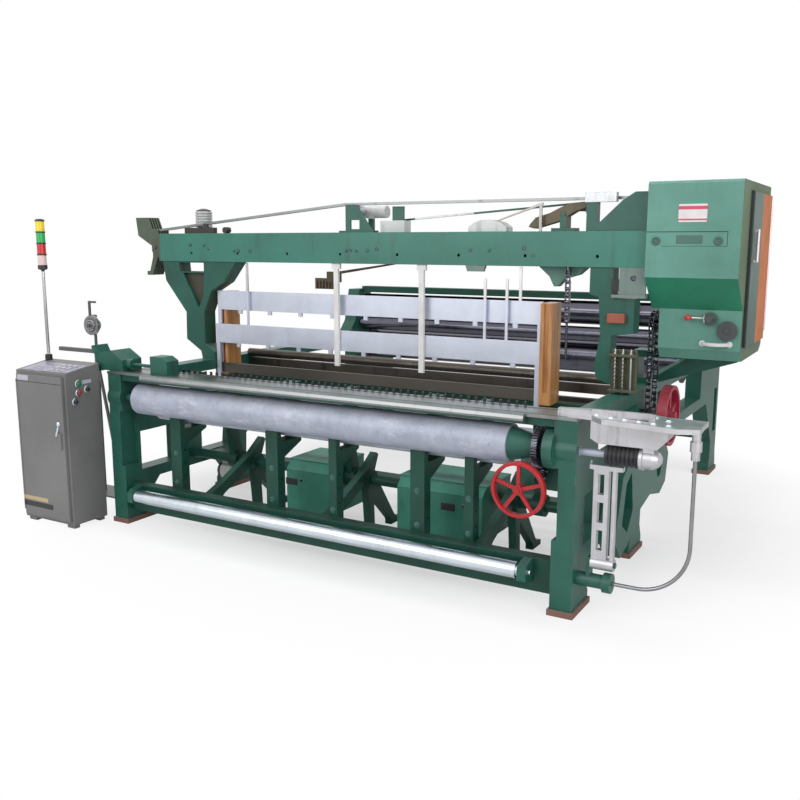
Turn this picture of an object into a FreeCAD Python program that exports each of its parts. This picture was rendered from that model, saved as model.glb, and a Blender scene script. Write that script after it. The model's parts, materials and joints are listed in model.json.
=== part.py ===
import FreeCAD, Part
import math
import os
import Sketcher

# A weaving machine with two side frames, rollers in front, a beam overhead and a shed-forming head.
# Origin: on the floor, midway between the four anchor bolts. +X to the shedding head, +Y to the
# back, +Z up. Lengths are in millimetres.

os.makedirs("parts", exist_ok=True)
doc = FreeCAD.newDocument("PowerLoom")
sheet = doc.addObject("Spreadsheet::Sheet", "Sizes")

driving = {
    # Frame: outside width and depth, thickness of a side casting, top of the castings.
    "frame_width": 2690, "design_width": 2690, "frame_depth": 2950, "frame_thick": 97, "frame_top": 845,
    "pad_thick": 26, "pad_margin": 9, "foot_long": 212, "anchor_radius": 11, "anchor_back": 106,
    "foot_rise": 34, "front_post": 165, "arch_height": 225, "mid_foot_back": 850,
    "main_frame_back": 1500, "tail_under": 520, "rest_cover": 115, "rib": 62, "boss_radius": 62,
    "disc_radius": 88, "disc_thick": 42, "waist_deep": 22, "waist_low": 330, "waist_high": 310,
    # Rails and the plate that the cloth runs over.
    "front_rail_back": 40, "front_rail_deep": 60, "front_rail_low": 75, "front_rail_high": 150,
    "wall": 8, "breast_back": 10, "breast_deep": 110, "breast_high": 35,
    "plate_thick": 13, "plate_front": -5, "plate_deep": 176, "slot_count": 40, "slot_long": 26,
    "slot_wide": 8, "nose_in": 168, "nose_long": 2200, "comb_count": 55, "comb_pitch": 39,
    "tie_deep": 90, "tie_high": 52, "guide_tie_back": 865,
    "bracket_thick": 75, "bracket_thin": 45, "bracket_arm": 60, "bracket_a": 2340, "bracket_b": 1680,
    "bracket_c": 1290, "bracket_d": 830, "bracket_e": 550,
    "rear_tie_high": 90, "rear_tie_deep": 80,
    # Take-up roller, its gear train and hand wheel.
    "take_back": 50, "take_height": 714, "take_radius": 84, "take_left": 103, "take_right": 203,
    "journal": 20, "fit": 0.08, "gap": 0.3, "shaft_out": 110, "gear_module": 4, "gear_teeth": 44,
    "pinion_teeth": 16, "gear_face": 25, "gear_inside": 160, "pinion_angle": 18, "mesh_gap": 0.25,
    "box_wide": 65, "box_deep": 120, "box_high": 135, "worm_drop": 55,
    "worm_radius": 10, "pinion_shaft": 46, "pinion_lug": 100, "wheel_radius": 120, "wheel_rim": 15,
    "wheel_width": 26, "wheel_front": -75,
    "spoke_count": 5, "spoke_wide": 15, "hub_radius": 21,
    # Press roller and cloth roller.
    "press_back": 200, "press_height": 630, "press_radius": 55, "press_journal": 15,
    "cloth_back": -10, "cloth_height": 175, "cloth_radius": 37, "cloth_journal": 14,
    "cloth_left": 101, "cloth_right": 144, "cloth_bracket": 40,
    # Sley: rocking shaft, swords, beam and cap.
    "rock_back": 520, "rock_height": 310, "rock_radius": 28, "sword_thick": 34,
    "sley_back": 440, "sley_deep": 80, "sley_low": 715, "sley_high": 46, "cap_radius": 8,
    "cap_rise": 8.2, "sley_side": 150, "sword_a": 364, "sword_b": 1435, "sword_c": 2245,
    # Stands under the rocking shaft.
    "stand_thick": 40, "stand_hub": 50, "stand_a": 500, "stand_b": 1345, "stand_c": 2115,
    # Warp-stop bars behind the heald frames.
    "bar_back": 1100, "bar_high": 854, "bar_middle": 799, "bar_low": 734, "bar_round": 26,
    # Cam boxes on the tie.
    "cam_front": 350, "cam_deep": 340, "cam_low": 120, "cam_high": 270, "cam_wide_left": 280,
    "cam_wide_right": 470, "cam_left": 1740, "cam_right": 1046, "motor_place": 2540,
    "motor_radius": 58, "motor_long": 120,
    # Uprights and the beam overhead.
    "upright_back": 760, "upright_deep": 100, "upright_wide": 97, "beam_low": 1440, "beam_high": 169,
    "beam_back": 750, "beam_deep": 150, "beam_left_over": 310, "beam_gap": 54, "beam_wall": 12,
    # Heald frames in wooden guides.
    "heald_left": 104, "heald_right": 470, "heald_rear_low": 1150, "heald_front_low": 950,
    "heald_rail": 115, "heald_tall": 500, "heald_thick": 12, "heald_rear_back": 800,
    "heald_pitch": 24, "heald_stile": 26, "guide_thick": 62, "guide_deep": 125, "guide_low": 750,
    "guide_high": 510, "heald_gap": 0.3, "shed": 60,
    "spacer_thick": 16, "spacer_low": 865, "spacer_a": 1696, "spacer_b": 1153,
    # Jack levers, pull rods and their guide roller.
    "jack_reach": 75, "jack_back": 790, "jack_pitch": 22, "jack_thick": 9, "pin_radius": 12,
    "knee_place": 1640, "rod_level": 1762, "rod_high": 14, "rod_thick": 8, "guide_roll": 30,
    "roll_long": 88,
    # Shedding head.
    "head_wide": 408, "head_front": 700, "head_back": 1450, "head_top": 1825, "head_low": 1400,
    "head_chin": 160, "head_neck": 1250, "body_low": 1015, "body_inset": 36,
    "head_slot": 120, "lever_place": 270, "lever_drop": 40, "ball_radius": 15, "door_front": 900,
    "door_deep": 500, "door_low": 1080, "door_high": 700, "recess_deep": 110,
    # Drive.
    "main_back": 1000, "main_height": 715, "main_radius": 22, "fly_radius": 150, "fly_width": 46,
    "fly_out": 100, "chain_pitch": 31.75, "chain_links": 40, "sprocket_teeth": 12, "chain_out": 36,
    "link_wide": 22, "link_thick": 2.4, "roller_radius": 9, "roller_long": 14, "tooth_face": 5,
    "hang_links": 9, "hang_place": 340,
    # Weft-insertion drive outside the right frame.
    "bellows_long": 138, "bellows_radius": 45, "carrier_long": 495, "tube_out": 455, "tube_back": 62,
    "tube_height": 165, "tube_bend": 205, "tube_radius": 8, "flange_out": 150, "arm_rise": 80,
    "arm_wide": 64, "housing_wide": 78,
    # Warp end.
    "warp_back": 2560, "warp_drop": 165, "warp_radius": 110, "rest_back": 2500,
    "rest_rise": 140, "rest_radius": 80, "tension_back": 2440, "tension_height": 945,
    "tension_radius": 50, "rear_journal": 20,
    # Control cabinet and signal tower.
    "cab_left": 468, "cab_wide": 400, "cab_front": -229, "cab_deep": 229, "cab_high": 862,
    "cab_foot": 22, "cab_rise": 36, "cab_wall": 3, "door_thick": 16, "door_margin": 18,
    "door_lap": 12, "knuckle": 5,
    "button_radius": 11, "stand_out": 537, "stand_back": 400, "bar_height": 880, "disc_height": 1055,
    "pole_radius": 9, "lamp_radius": 26, "lamp_tall": 62, "tower_base": 1430,
}
for row, (alias, number) in enumerate(driving.items(), start=1):
    sheet.set("A%d" % row, alias)
    sheet.set("B%d" % row, str(number))
    sheet.setAlias("B%d" % row, alias)
doc.recompute()


class Size:
    # A length with its value and the formula that gives it from the sheet.
    def __init__(self, value, text):
        self.value = float(value)
        self.text = text

    def __add__(self, other):
        other = size(other)
        return Size(self.value + other.value, "(%s + %s)" % (self.text, other.text))

    def __sub__(self, other):
        other = size(other)
        return Size(self.value - other.value, "(%s - %s)" % (self.text, other.text))

    def __mul__(self, other):
        other = size(other)
        return Size(self.value * other.value, "%s * %s" % (self.text, other.text))

    def __truediv__(self, other):
        other = size(other)
        return Size(self.value / other.value, "%s / %s" % (self.text, other.text))

    def __neg__(self):
        return Size(-self.value, "(-1 * %s)" % self.text)

    def __radd__(self, other):
        return size(other) + self

    def __rsub__(self, other):
        return size(other) - self

    def __rmul__(self, other):
        return size(other) * self

    def __float__(self):
        return self.value


def size(number):
    if isinstance(number, Size):
        return number
    return Size(number, "(%s)" % round(float(number), 6))


class Named:
    pass


s = Named()
for alias in driving:
    setattr(s, alias, Size(sheet.get(alias), "Sizes." + alias))

s.warp_height = s.tension_height - s.warp_drop
s.rest_height = s.tension_height + s.rest_rise
s.back_rest_top = s.rest_height + s.rest_cover

vector = FreeCAD.Vector
pieces = []


def bind(item, name, amount):
    item.setExpression(name, size(amount).text)


def place(item, at, turn=None):
    # Puts an object at a point whose three coordinates follow the sheet.
    turn = turn or FreeCAD.Rotation()
    item.Placement = FreeCAD.Placement(vector(*[float(c) for c in at]), turn)
    for letter, amount in zip("xyz", at):
        bind(item, "Placement.Base." + letter, amount)
    return item


def box(at, lengths):
    item = doc.addObject("Part::Box", "Block")
    for name, amount in zip(("Length", "Width", "Height"), lengths):
        bind(item, name, amount)
    return place(item, at)


turns = {"X": FreeCAD.Rotation(vector(0, 1, 0), 90), "Y": FreeCAD.Rotation(vector(1, 0, 0), -90),
         "Z": FreeCAD.Rotation()}


def rod(axis, at, radius, length):
    item = doc.addObject("Part::Cylinder", "Rod")
    bind(item, "Radius", radius)
    bind(item, "Height", length)
    return place(item, at, turns[axis])


def cone(axis, at, first, last, length):
    item = doc.addObject("Part::Cone", "Taper")
    bind(item, "Radius1", first)
    bind(item, "Radius2", last)
    bind(item, "Height", length)
    return place(item, at, turns[axis])


def join(*items):
    item = doc.addObject("Part::MultiFuse", "Joined")
    item.Shapes = list(items)
    item.Refine = True
    return item


def group(*items):
    item = doc.addObject("Part::Compound", "Group")
    item.Links = list(items)
    return item


def cut(base, *tools):
    item = doc.addObject("Part::Cut", "Cut")
    item.Base = base
    item.Tool = tools[0] if len(tools) == 1 else join(*tools)
    item.Refine = True
    return item


def piece(label, item):
    item.Label = label
    pieces.append(item)
    return item


def draw(sketch, outline):
    # A closed outline whose corners are held at their distances from the sketch's axes.
    first = sketch.GeometryCount
    count = len(outline)
    spots = [vector(float(a), float(b), 0) for a, b in outline]
    for i in range(count):
        sketch.addGeometry(Part.LineSegment(spots[i], spots[(i + 1) % count]), False)
    for i in range(count):
        sketch.addConstraint(Sketcher.Constraint("Coincident", first + i, 2, first + (i + 1) % count, 1))
    for i, corner in enumerate(outline):
        for kind, amount in zip(("DistanceX", "DistanceY"), corner):
            spot = Sketcher.Constraint(kind, -1, 1, first + i, 1, float(amount))
            sketch.setExpression("Constraints[%d]" % sketch.addConstraint(spot), size(amount).text)


def draw_circle(sketch, across, up, radius):
    ring = sketch.addGeometry(Part.Circle(vector(float(across), float(up), 0), vector(0, 0, 1),
                                          float(radius)), False)
    for kind, amount in (("DistanceX", across), ("DistanceY", up)):
        spot = Sketcher.Constraint(kind, -1, 1, ring, 3, float(amount))
        sketch.setExpression("Constraints[%d]" % sketch.addConstraint(spot), size(amount).text)
    held = sketch.addConstraint(Sketcher.Constraint("Radius", ring, float(radius)))
    sketch.setExpression("Constraints[%d]" % held, size(radius).text)


def sketch_on(body, plane, loops, circles=()):
    sketch = body.newObject("Sketcher::SketchObject", "Sketch")
    support = [face for face in body.Origin.OriginFeatures if face.Role == plane + "_Plane"][0]
    sketch.AttachmentSupport = [(support, "")]
    sketch.MapMode = "FlatFace"
    for loop in loops:
        draw(sketch, loop)
    for circle in circles:
        draw_circle(sketch, *circle)
    return sketch


def profile(plane, outline, depth, at, windows=(), circles=()):
    # A flat piece cut to an outline: windows are inner outlines, circles are holes.
    body = doc.addObject("PartDesign::Body", "Body")
    sketch = sketch_on(body, plane, [outline] + list(windows), circles)
    pad = body.newObject("PartDesign::Pad", "Pad")
    pad.Profile = sketch
    pad.Reversed = plane == "XZ"
    bind(pad, "Length", depth)
    body.Tip = pad
    return place(body, at)


def turned(axis, outline, at):
    # A piece turned on a lathe: the outline gives distances along the axis and radii.
    plane, line = {"X": ("XY", "H_Axis"), "Y": ("YZ", "H_Axis"), "Z": ("XZ", "V_Axis")}[axis]
    corners = [(b, a) if axis == "Z" else (a, b) for a, b in outline]
    body = doc.addObject("PartDesign::Body", "Turned")
    sketch = sketch_on(body, plane, [corners])
    spin = body.newObject("PartDesign::Revolution", "Revolution")
    spin.Profile = sketch
    spin.ReferenceAxis = (sketch, [line])
    spin.Angle = 360
    body.Tip = spin
    return place(body, at)


def shaped(shape, at):
    item = doc.addObject("Part::Feature", "Shaped")
    item.Shape = shape
    return place(item, at)


right = s.frame_width / 2
left = -right
front = -s.frame_depth / 2
inner_right = right - s.frame_thick
inner_left = left + s.frame_thick
inside = inner_right - inner_left
zero = size(0)
spread = s.frame_width / s.design_width

# Side castings: feet in front and in the middle, an arch between them, windows between ribs.
front_foot = s.foot_long
frame_outline = [
    (zero, s.pad_thick), (front_foot, s.pad_thick), (front_foot, s.pad_thick + s.foot_rise),
    (s.front_post, s.pad_thick + s.foot_rise * 3), (s.front_post + 95, s.arch_height),
    (s.mid_foot_back - 50, s.arch_height), (s.mid_foot_back + 30, s.pad_thick + s.foot_rise * 3),
    (s.mid_foot_back, s.pad_thick + s.foot_rise), (s.mid_foot_back, s.pad_thick),
    (s.mid_foot_back + s.foot_long, s.pad_thick),
    (s.mid_foot_back + s.foot_long, s.pad_thick + s.foot_rise),
    (s.mid_foot_back + 180, s.pad_thick + s.foot_rise * 3),
    (s.mid_foot_back + 190, s.arch_height + 105), (s.mid_foot_back + 350, s.tail_under - 60),
    (s.main_frame_back, s.tail_under), (s.main_frame_back, s.frame_top), (zero, s.frame_top)]
low_window = [(s.rib * 2, s.arch_height + s.rib), (s.rib * 2, s.press_height - s.rib * 2),
              (s.rock_back - s.rib * 1.6, s.press_height - s.rib * 2),
              (s.rock_back - s.rib * 1.6, s.arch_height + s.rib)]
mid_window = [(s.rock_back + s.rib * 1.6, s.arch_height + s.rib),
              (s.rock_back + s.rib * 1.6, s.tail_under), (s.main_back - s.rib, s.tail_under),
              (s.mid_foot_back + s.rib, s.arch_height + s.rib)]
high_window = [(s.press_back + s.rib * 1.4, s.tail_under + s.rib * 1.2),
               (s.press_back + s.rib * 1.4, s.frame_top - s.rib),
               (s.main_back - s.rib * 2, s.frame_top - s.rib),
               (s.main_back - s.rib * 2, s.tail_under + s.rib * 1.2)]
tail_window = [(s.main_back + s.rib * 2, s.tail_under + s.rib),
               (s.main_back + s.rib * 2, s.frame_top - s.rib),
               (s.main_frame_back - s.rib, s.frame_top - s.rib),
               (s.main_frame_back - s.rib, s.tail_under + s.rib)]
frame_bores = [(s.take_back, s.take_height, s.journal + s.fit),
               (s.press_back, s.press_height, s.press_journal + s.fit),
               (s.rock_back, s.rock_height, s.rock_radius + s.fit),
               (s.main_back, s.main_height, s.main_radius + s.fit)]
windows = [low_window, mid_window, high_window, tail_window]


def anchor(x, y):
    return rod("Z", (x, y, zero), s.anchor_radius, s.pad_thick + s.foot_rise * 2)


def side_frame(label, low, waist_x, bosses):
    # The front post is thinner between its foot and its bearing boss.
    casting = profile("YZ", frame_outline, s.frame_thick, (low, front, zero), windows, frame_bores)
    hole = anchor(low + s.frame_thick / 2, front + s.anchor_back)
    slot = box((low + s.frame_thick / 2 - 25, front + s.anchor_back - 25,
                s.pad_thick + s.foot_rise - 1), (50, 50, s.foot_rise))
    waist = box((waist_x, front - 1, s.waist_low), (s.waist_deep + 1, s.rib * 2 - 13, s.waist_high))
    rounds = [rod("X", (x, front + s.take_back, s.take_height), radius, long) for x, radius, long in bosses]
    bore = rod("X", (left - 1, front + s.take_back, s.take_height), s.journal + s.fit, s.frame_width + 2)
    return piece(label, cut(join(casting, *rounds), hole, slot, waist, bore))


side_frame("side_frame_right", inner_right, inner_right - 1,
           [(inner_right, s.boss_radius, s.frame_thick),
            (inner_right - s.disc_thick, s.disc_radius, s.disc_thick + 1)])
side_frame("side_frame_left", left, inner_left - s.waist_deep, [(left, s.boss_radius, s.frame_thick)])

# Tail castings: they carry the warp end, and stand on a rear post.
rear_outline = [
    (s.main_frame_back, s.tail_under), (s.frame_depth - s.foot_long - 190, s.tail_under),
    (s.frame_depth - s.foot_long + 20, s.arch_height), (s.frame_depth - s.foot_long + 20,
                                                       s.pad_thick + s.foot_rise * 3),
    (s.frame_depth - s.foot_long, s.pad_thick + s.foot_rise),
    (s.frame_depth - s.foot_long, s.pad_thick), (s.frame_depth, s.pad_thick),
    (s.frame_depth, s.pad_thick + s.foot_rise), (s.frame_depth - 18, s.pad_thick + s.foot_rise * 3),
    (s.frame_depth - 18, s.frame_top + 20), (s.rest_back + s.rest_radius + 50, s.frame_top + 110),
    (s.rest_back + s.rest_radius, s.back_rest_top), (s.rest_back - s.rest_radius, s.back_rest_top),
    (s.tension_back - s.rest_radius, s.tension_height + 20),
    (s.tension_back - 190, s.frame_top), (s.main_frame_back, s.frame_top)]
rear_window = [(s.main_frame_back + s.rib, s.tail_under + s.rib),
               (s.main_frame_back + s.rib, s.frame_top - s.rib),
               (s.warp_back - s.warp_radius - s.rib * 1.5, s.frame_top - s.rib),
               (s.warp_back - s.warp_radius - s.rib * 1.5, s.tail_under + s.rib)]
post_window = [(s.frame_depth - s.foot_long + 20 + s.rib * 0.7, s.arch_height + s.rib),
               (s.frame_depth - s.foot_long + 20 + s.rib * 0.7, s.tail_under + s.rib),
               (s.frame_depth - 18 - s.rib * 0.7, s.tail_under + s.rib),
               (s.frame_depth - 18 - s.rib * 0.7, s.arch_height + s.rib)]
rear_bores = [(s.warp_back, s.warp_height, s.rear_journal + s.fit),
              (s.rest_back, s.rest_height, s.rear_journal + s.fit),
              (s.tension_back, s.tension_height, s.rear_journal + s.fit)]


def tail_frame(low):
    casting = profile("YZ", rear_outline, s.frame_thick, (low, front, zero),
                      [rear_window, post_window], rear_bores)
    hole = anchor(low + s.frame_thick / 2, -front - s.anchor_back)
    slot = box((low + s.frame_thick / 2 - 25, -front - s.anchor_back - 25,
                s.pad_thick + s.foot_rise - 1), (50, 50, s.foot_rise))
    return cut(casting, hole, slot)


piece("tail_frames", group(tail_frame(left), tail_frame(inner_right)))


# Pads under the six feet, with holes for the four anchor bolts.
def pads():
    blocks = []
    for low in (left, inner_right):
        for back in (zero, s.mid_foot_back, s.frame_depth - s.foot_long):
            block = box((low - s.pad_margin, front + back - s.pad_margin, zero),
                        (s.frame_thick + s.pad_margin * 2, s.foot_long + s.pad_margin * 2, s.pad_thick))
            if back is not s.mid_foot_back:
                middle = front + s.anchor_back if back is zero else -front - s.anchor_back
                block = cut(block, anchor(low + s.frame_thick / 2, middle))
            blocks.append(block)
    return group(*blocks)


piece("foot_pads", pads())


def tube_rail(back, low, deep, high):
    # A box-section rail between the two side castings.
    outer = box((inner_left, front + back, low), (inside, deep, high))
    hollow = box((inner_left - 1, front + back + s.wall, low + s.wall),
                 (inside + 2, deep - s.wall * 2, high - s.wall * 2))
    return cut(outer, hollow)


breast_low = s.frame_top - s.breast_high
piece("breast_beam", tube_rail(s.breast_back, breast_low, s.breast_deep, s.breast_high))
tie_back = s.cam_front + s.cam_deep
bar_y = front + s.bar_back


# Stands under the rocking shaft: two legs, a hub round the shaft and a curved arm to the front rail.
def rocking_stand(place_in):
    shaft_at = (s.rock_back, s.rock_height)
    legs = profile("YZ", [
        (s.rock_back - 8, zero), (s.rock_back + 74, zero), (s.rock_back + 74, size(26)),
        (s.rock_back + 34, size(40)), (s.rock_back + 26, s.rock_height - 120),
        (s.rock_back + 38, s.rock_height - 120), (s.rock_back + 196, size(40)),
        (s.rock_back + 206, size(26)), (s.rock_back + 206, zero), (s.rock_back + 316, zero),
        (s.rock_back + 316, size(26)), (s.rock_back + 250, size(40)),
        (s.rock_back + 48, s.rock_height + 10), (s.rock_back - 46, s.rock_height + 10),
        (s.rock_back - 24, s.rock_height - 150)], s.stand_thick, (right - place_in * spread, front, zero))
    arm = profile("YZ", [
        (rail_rear, size(110)), (rail_rear + 22, size(118)), (rail_rear + 130, size(196)),
        (rail_rear + 280, size(262)), (s.rock_back - 30, s.rock_height + 6),
        (s.rock_back + 30, s.rock_height + 30), (s.rock_back + 72, s.rock_height + 122),
        (s.rock_back + 52, s.rock_height + 136), (s.rock_back - 50, s.rock_height + 64),
        (rail_rear + 264, size(322)), (rail_rear + 110, size(252)), (rail_rear, size(212))],
        s.stand_thick, (right - place_in * spread, front, zero))
    hub = rod("X", (right - place_in * spread - 10, front + shaft_at[0], shaft_at[1]), s.stand_hub,
              s.stand_thick + 20)
    bore = rod("X", (right - place_in * spread - 11, front + shaft_at[0], shaft_at[1]),
               s.rock_radius + s.fit, s.stand_thick + 22)
    return cut(join(legs, arm, hub), bore)


rail_rear = s.front_rail_back + s.front_rail_deep
rear_tie_back = s.frame_depth - 18 - s.rib * 0.7 - s.rear_tie_deep - 4
piece("cross_ties", group(
    tube_rail(s.front_rail_back, s.front_rail_low, s.front_rail_deep, s.front_rail_high),
    tube_rail(tie_back, s.arch_height + 4, s.tie_deep, s.tie_high),
    tube_rail(rear_tie_back, s.arch_height + 6, s.rear_tie_deep, s.rear_tie_high),
    tube_rail(s.rest_back - s.rear_tie_deep / 2, s.rest_height + s.rest_radius + 12, s.rear_tie_deep,
              s.rear_tie_high / 2),
    tube_rail(s.guide_tie_back, s.guide_low - 60, 70, 60),
    rod("X", (inner_left, bar_y, s.bar_high), s.bar_round, inside),
    box((inner_left, bar_y - 14, s.bar_middle - 25), (inside, 28, 50)),
    box((inner_left, bar_y - 16, s.bar_low - 12), (inside, 32, 25)),
    rocking_stand(s.stand_a), rocking_stand(s.stand_b), rocking_stand(s.stand_c)))


# Slotted plate along the breast beam, with a rounded bar in front and a comb behind.
def slotted_plate():
    low = left
    plate = box((low, front + s.plate_front, s.frame_top), (s.frame_width, s.plate_deep, s.plate_thick))
    count = int(float(s.slot_count))
    pitch = (inside - 260) / s.slot_count
    slots = []
    for k in range(count):
        slots.append(box((inner_left + 150 + pitch * k, front + s.plate_front + s.plate_deep * 0.72,
                          s.frame_top - 1), (s.slot_long, s.slot_wide, s.plate_thick + 2)))
    lip = box((low - 1, front + s.plate_front + s.plate_deep * 0.82, s.frame_top + s.plate_thick - 4),
              (s.frame_width + 2, 6, 5))
    nose = profile("YZ", [
        (s.breast_back, s.frame_top + s.plate_thick), (s.breast_back, s.frame_top - 30),
        (s.plate_front - 9, s.frame_top - 30), (s.plate_front - 18, s.frame_top - 22),
        (s.plate_front - 22, s.frame_top - 8), (s.plate_front - 18, s.frame_top + 6),
        (s.plate_front - 8, s.frame_top + s.plate_thick)], s.nose_long, (inner_left + s.nose_in, front, zero))
    comb_y = front + s.plate_front + s.plate_deep - 10
    teeth = [box((inner_left + s.nose_in + 20 + s.comb_pitch * spread * k, comb_y,
                  s.frame_top + s.plate_thick - 1), (12, 8, 19)) for k in range(int(float(s.comb_count)))]
    return join(cut(plate, lip, *slots), nose, *teeth)


piece("breast_plate", slotted_plate())

# Brackets behind the rollers, from the front rail up to the breast beam, with a nose under them.
nose_back = s.press_back - s.press_radius - 10
nose_top = s.press_height - 18
behind_press = s.press_back + s.press_radius + 8
bracket_outline = [
    (rail_rear, s.front_rail_low + 6), (rail_rear + s.bracket_arm, s.front_rail_low + 6),
    (rail_rear + s.bracket_arm, s.press_height - 160), (behind_press + 44, s.press_height - 100),
    (behind_press + 44, s.frame_top), (s.breast_back + s.breast_deep, s.frame_top),
    (s.breast_back + s.breast_deep, breast_low), (behind_press, breast_low - 20),
    (behind_press, s.press_height - 76), (nose_back, s.press_height - 76), (nose_back, nose_top),
    (rail_rear, nose_top)]


def breast_bracket(x, thick):
    holes = [(rail_rear + s.bracket_arm / 2, s.front_rail_low + 60 + k * 75, 7) for k in range(5)]
    return profile("YZ", bracket_outline, thick, (x, front, zero), (), holes)


bracket_spots = [(s.bracket_a, s.bracket_thick), (s.bracket_b, s.bracket_thick),
                 (s.bracket_c, s.bracket_thin), (s.bracket_d, s.bracket_thick),
                 (s.bracket_e, s.bracket_thin)]
piece("breast_brackets", group(*[breast_bracket(right - place_in * spread, thick)
                                 for place_in, thick in bracket_spots]))

# Take-up roller with its cone hub and long shaft, running in the side castings.
roller_left = left + s.take_left + s.frame_thick
roller_right = right - s.take_right - s.frame_thick
gear_low = right - s.gear_inside - s.gear_face
gear_radius = s.gear_module * s.gear_teeth / 2
pinion_radius = s.gear_module * s.pinion_teeth / 2
take_at = (left, front + s.take_back, s.take_height)


def take_up_roller():
    first = roller_left - left
    last = roller_right - left
    gear = gear_low - left
    outline = [(zero, zero), (zero, s.journal), (first - 40, s.journal), (first - 40, s.journal * 2.3),
               (first, s.journal * 2.9), (first, s.take_radius), (last, s.take_radius),
               (last, s.take_radius - 10), (gear, s.journal * 2.2), (gear, s.journal * 1.5),
               (gear + s.gear_face + 4, s.journal * 1.5), (gear + s.gear_face + 4, s.journal),
               (s.frame_width, s.journal), (s.frame_width, s.journal * 0.8),
               (s.frame_width + s.shaft_out, s.journal * 0.8), (s.frame_width + s.shaft_out, zero)]
    return turned("X", outline, take_at)


piece("take_up_roller", take_up_roller())


def toothed(teeth, radius, face, bore, shift):
    # A spur gear drawn round X: straight-flanked teeth, narrower than their gaps by the mesh gap.
    module = float(s.gear_module)
    outer = radius + module - 0.2
    root = radius - module * 1.25
    step = 2 * math.pi / teeth
    play = float(s.mesh_gap) / radius
    corners = []
    for k in range(teeth):
        middle = k * step + shift
        for part, reach in ((-0.33, root), (-0.14, outer), (0.14, outer), (0.33, root)):
            side = -1 if part < 0 else 1
            angle = middle + part * step - side * play
            corners.append(vector(0, reach * math.sin(angle), reach * math.cos(angle)))
    wheel = Part.Face(Part.makePolygon(corners + corners[:1])).extrude(vector(face, 0, 0))
    return wheel.cut(Part.makeCylinder(bore, face + 2, vector(-1, 0, 0), vector(1, 0, 0)))


def take_up_gear():
    # The gear's tooth gap faces the pinion, which stands below and behind it.
    teeth = int(float(s.gear_teeth))
    radius = float(gear_radius)
    face = float(s.gear_face)
    toward = math.pi - math.radians(float(s.pinion_angle))
    wheel = toothed(teeth, radius, face, float(s.journal) * 1.5, toward + math.pi / teeth)
    for k in range(6):
        angle = k * math.pi / 3
        spot = vector(-1, radius * 0.62 * math.sin(angle), radius * 0.62 * math.cos(angle))
        wheel = wheel.cut(Part.makeCylinder(radius * 0.16, face + 2, spot, vector(1, 0, 0)))
    return shaped(wheel, (gear_low, front + s.take_back, s.take_height))


piece("take_up_gear", take_up_gear())

# Pinion, under and behind the gear, on the worm box's cross shaft.
mesh = gear_radius + pinion_radius
pinion_back = s.take_back + mesh * math.sin(math.radians(float(s.pinion_angle)))
pinion_height = s.take_height - mesh * math.cos(math.radians(float(s.pinion_angle)))


def take_up_pinion():
    teeth = int(float(s.pinion_teeth))
    toward = -math.radians(float(s.pinion_angle))
    wheel = toothed(teeth, float(pinion_radius), float(s.gear_face), 1, toward)
    shaft = Part.makeCylinder(float(s.worm_radius), float(s.gear_face + 12 + s.pinion_shaft),
                              vector(-float(s.pinion_shaft), 0, 0), vector(1, 0, 0))
    return shaped(wheel.fuse(shaft).removeSplitter(),
                  (gear_low, front + pinion_back, pinion_height))


piece("take_up_pinion", take_up_pinion())

# Worm box: a casting held by a plate to the side casting, with the hand wheel's shaft in front.
box_right = gear_low - 6
box_low = pinion_height + 40 - s.box_high
box_front = front + pinion_back - s.box_deep / 2
worm_height = pinion_height - s.worm_drop
worm_x = box_right - s.box_wide / 2
plate_low = box_low
worm_box = join(box((box_right - s.box_wide, box_front, box_low), (s.box_wide, s.box_deep, s.box_high)),
                box((box_right - s.box_wide, box_front + s.box_deep - 16, plate_low),
                    (inner_right - box_right + s.box_wide, 16, s.pinion_lug)),
                rod("Y", (worm_x, box_front - 22, worm_height), s.worm_radius * 2.1, 24))
worm_bore = rod("Y", (worm_x, box_front - 23, worm_height), s.worm_radius + s.fit, s.box_deep * 0.8)
pinion_bore = rod("X", (box_right - s.pinion_shaft + 5, front + pinion_back, pinion_height),
                  s.worm_radius + s.fit, s.pinion_shaft)
piece("worm_box", cut(worm_box, worm_bore, pinion_bore))


def hand_wheel():
    wheel_at = (worm_x, front + s.wheel_front, worm_height)
    inner = s.wheel_radius - s.wheel_rim
    rim = turned("Y", [(zero, inner), (zero, s.wheel_radius - 3), (size(4), s.wheel_radius),
                       (s.wheel_width, s.wheel_radius), (s.wheel_width, inner)], wheel_at)
    hub = rod("Y", wheel_at, s.hub_radius, s.wheel_width)
    shaft = rod("Y", (wheel_at[0], wheel_at[1] - 8, wheel_at[2]), s.worm_radius,
                box_front - front - s.wheel_front + s.box_deep * 0.55)
    arms = []
    for k in range(int(float(s.spoke_count))):
        arm = box(wheel_at, (inner + 4, s.wheel_width * 0.45, s.spoke_wide))
        angle = 90 + k * 360 / float(s.spoke_count)
        arm.Placement.Rotation = FreeCAD.Rotation(vector(0, -1, 0), angle)
        half = s.spoke_wide / 2
        bind(arm, "Placement.Base.x", wheel_at[0] + half * math.sin(math.radians(angle)))
        bind(arm, "Placement.Base.z", wheel_at[2] - half * math.cos(math.radians(angle)))
        bind(arm, "Placement.Base.y", wheel_at[1] + s.wheel_width * 0.3)
        arms.append(arm)
    return join(rim, hub, shaft, *arms)


piece("hand_wheel", hand_wheel())


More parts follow.
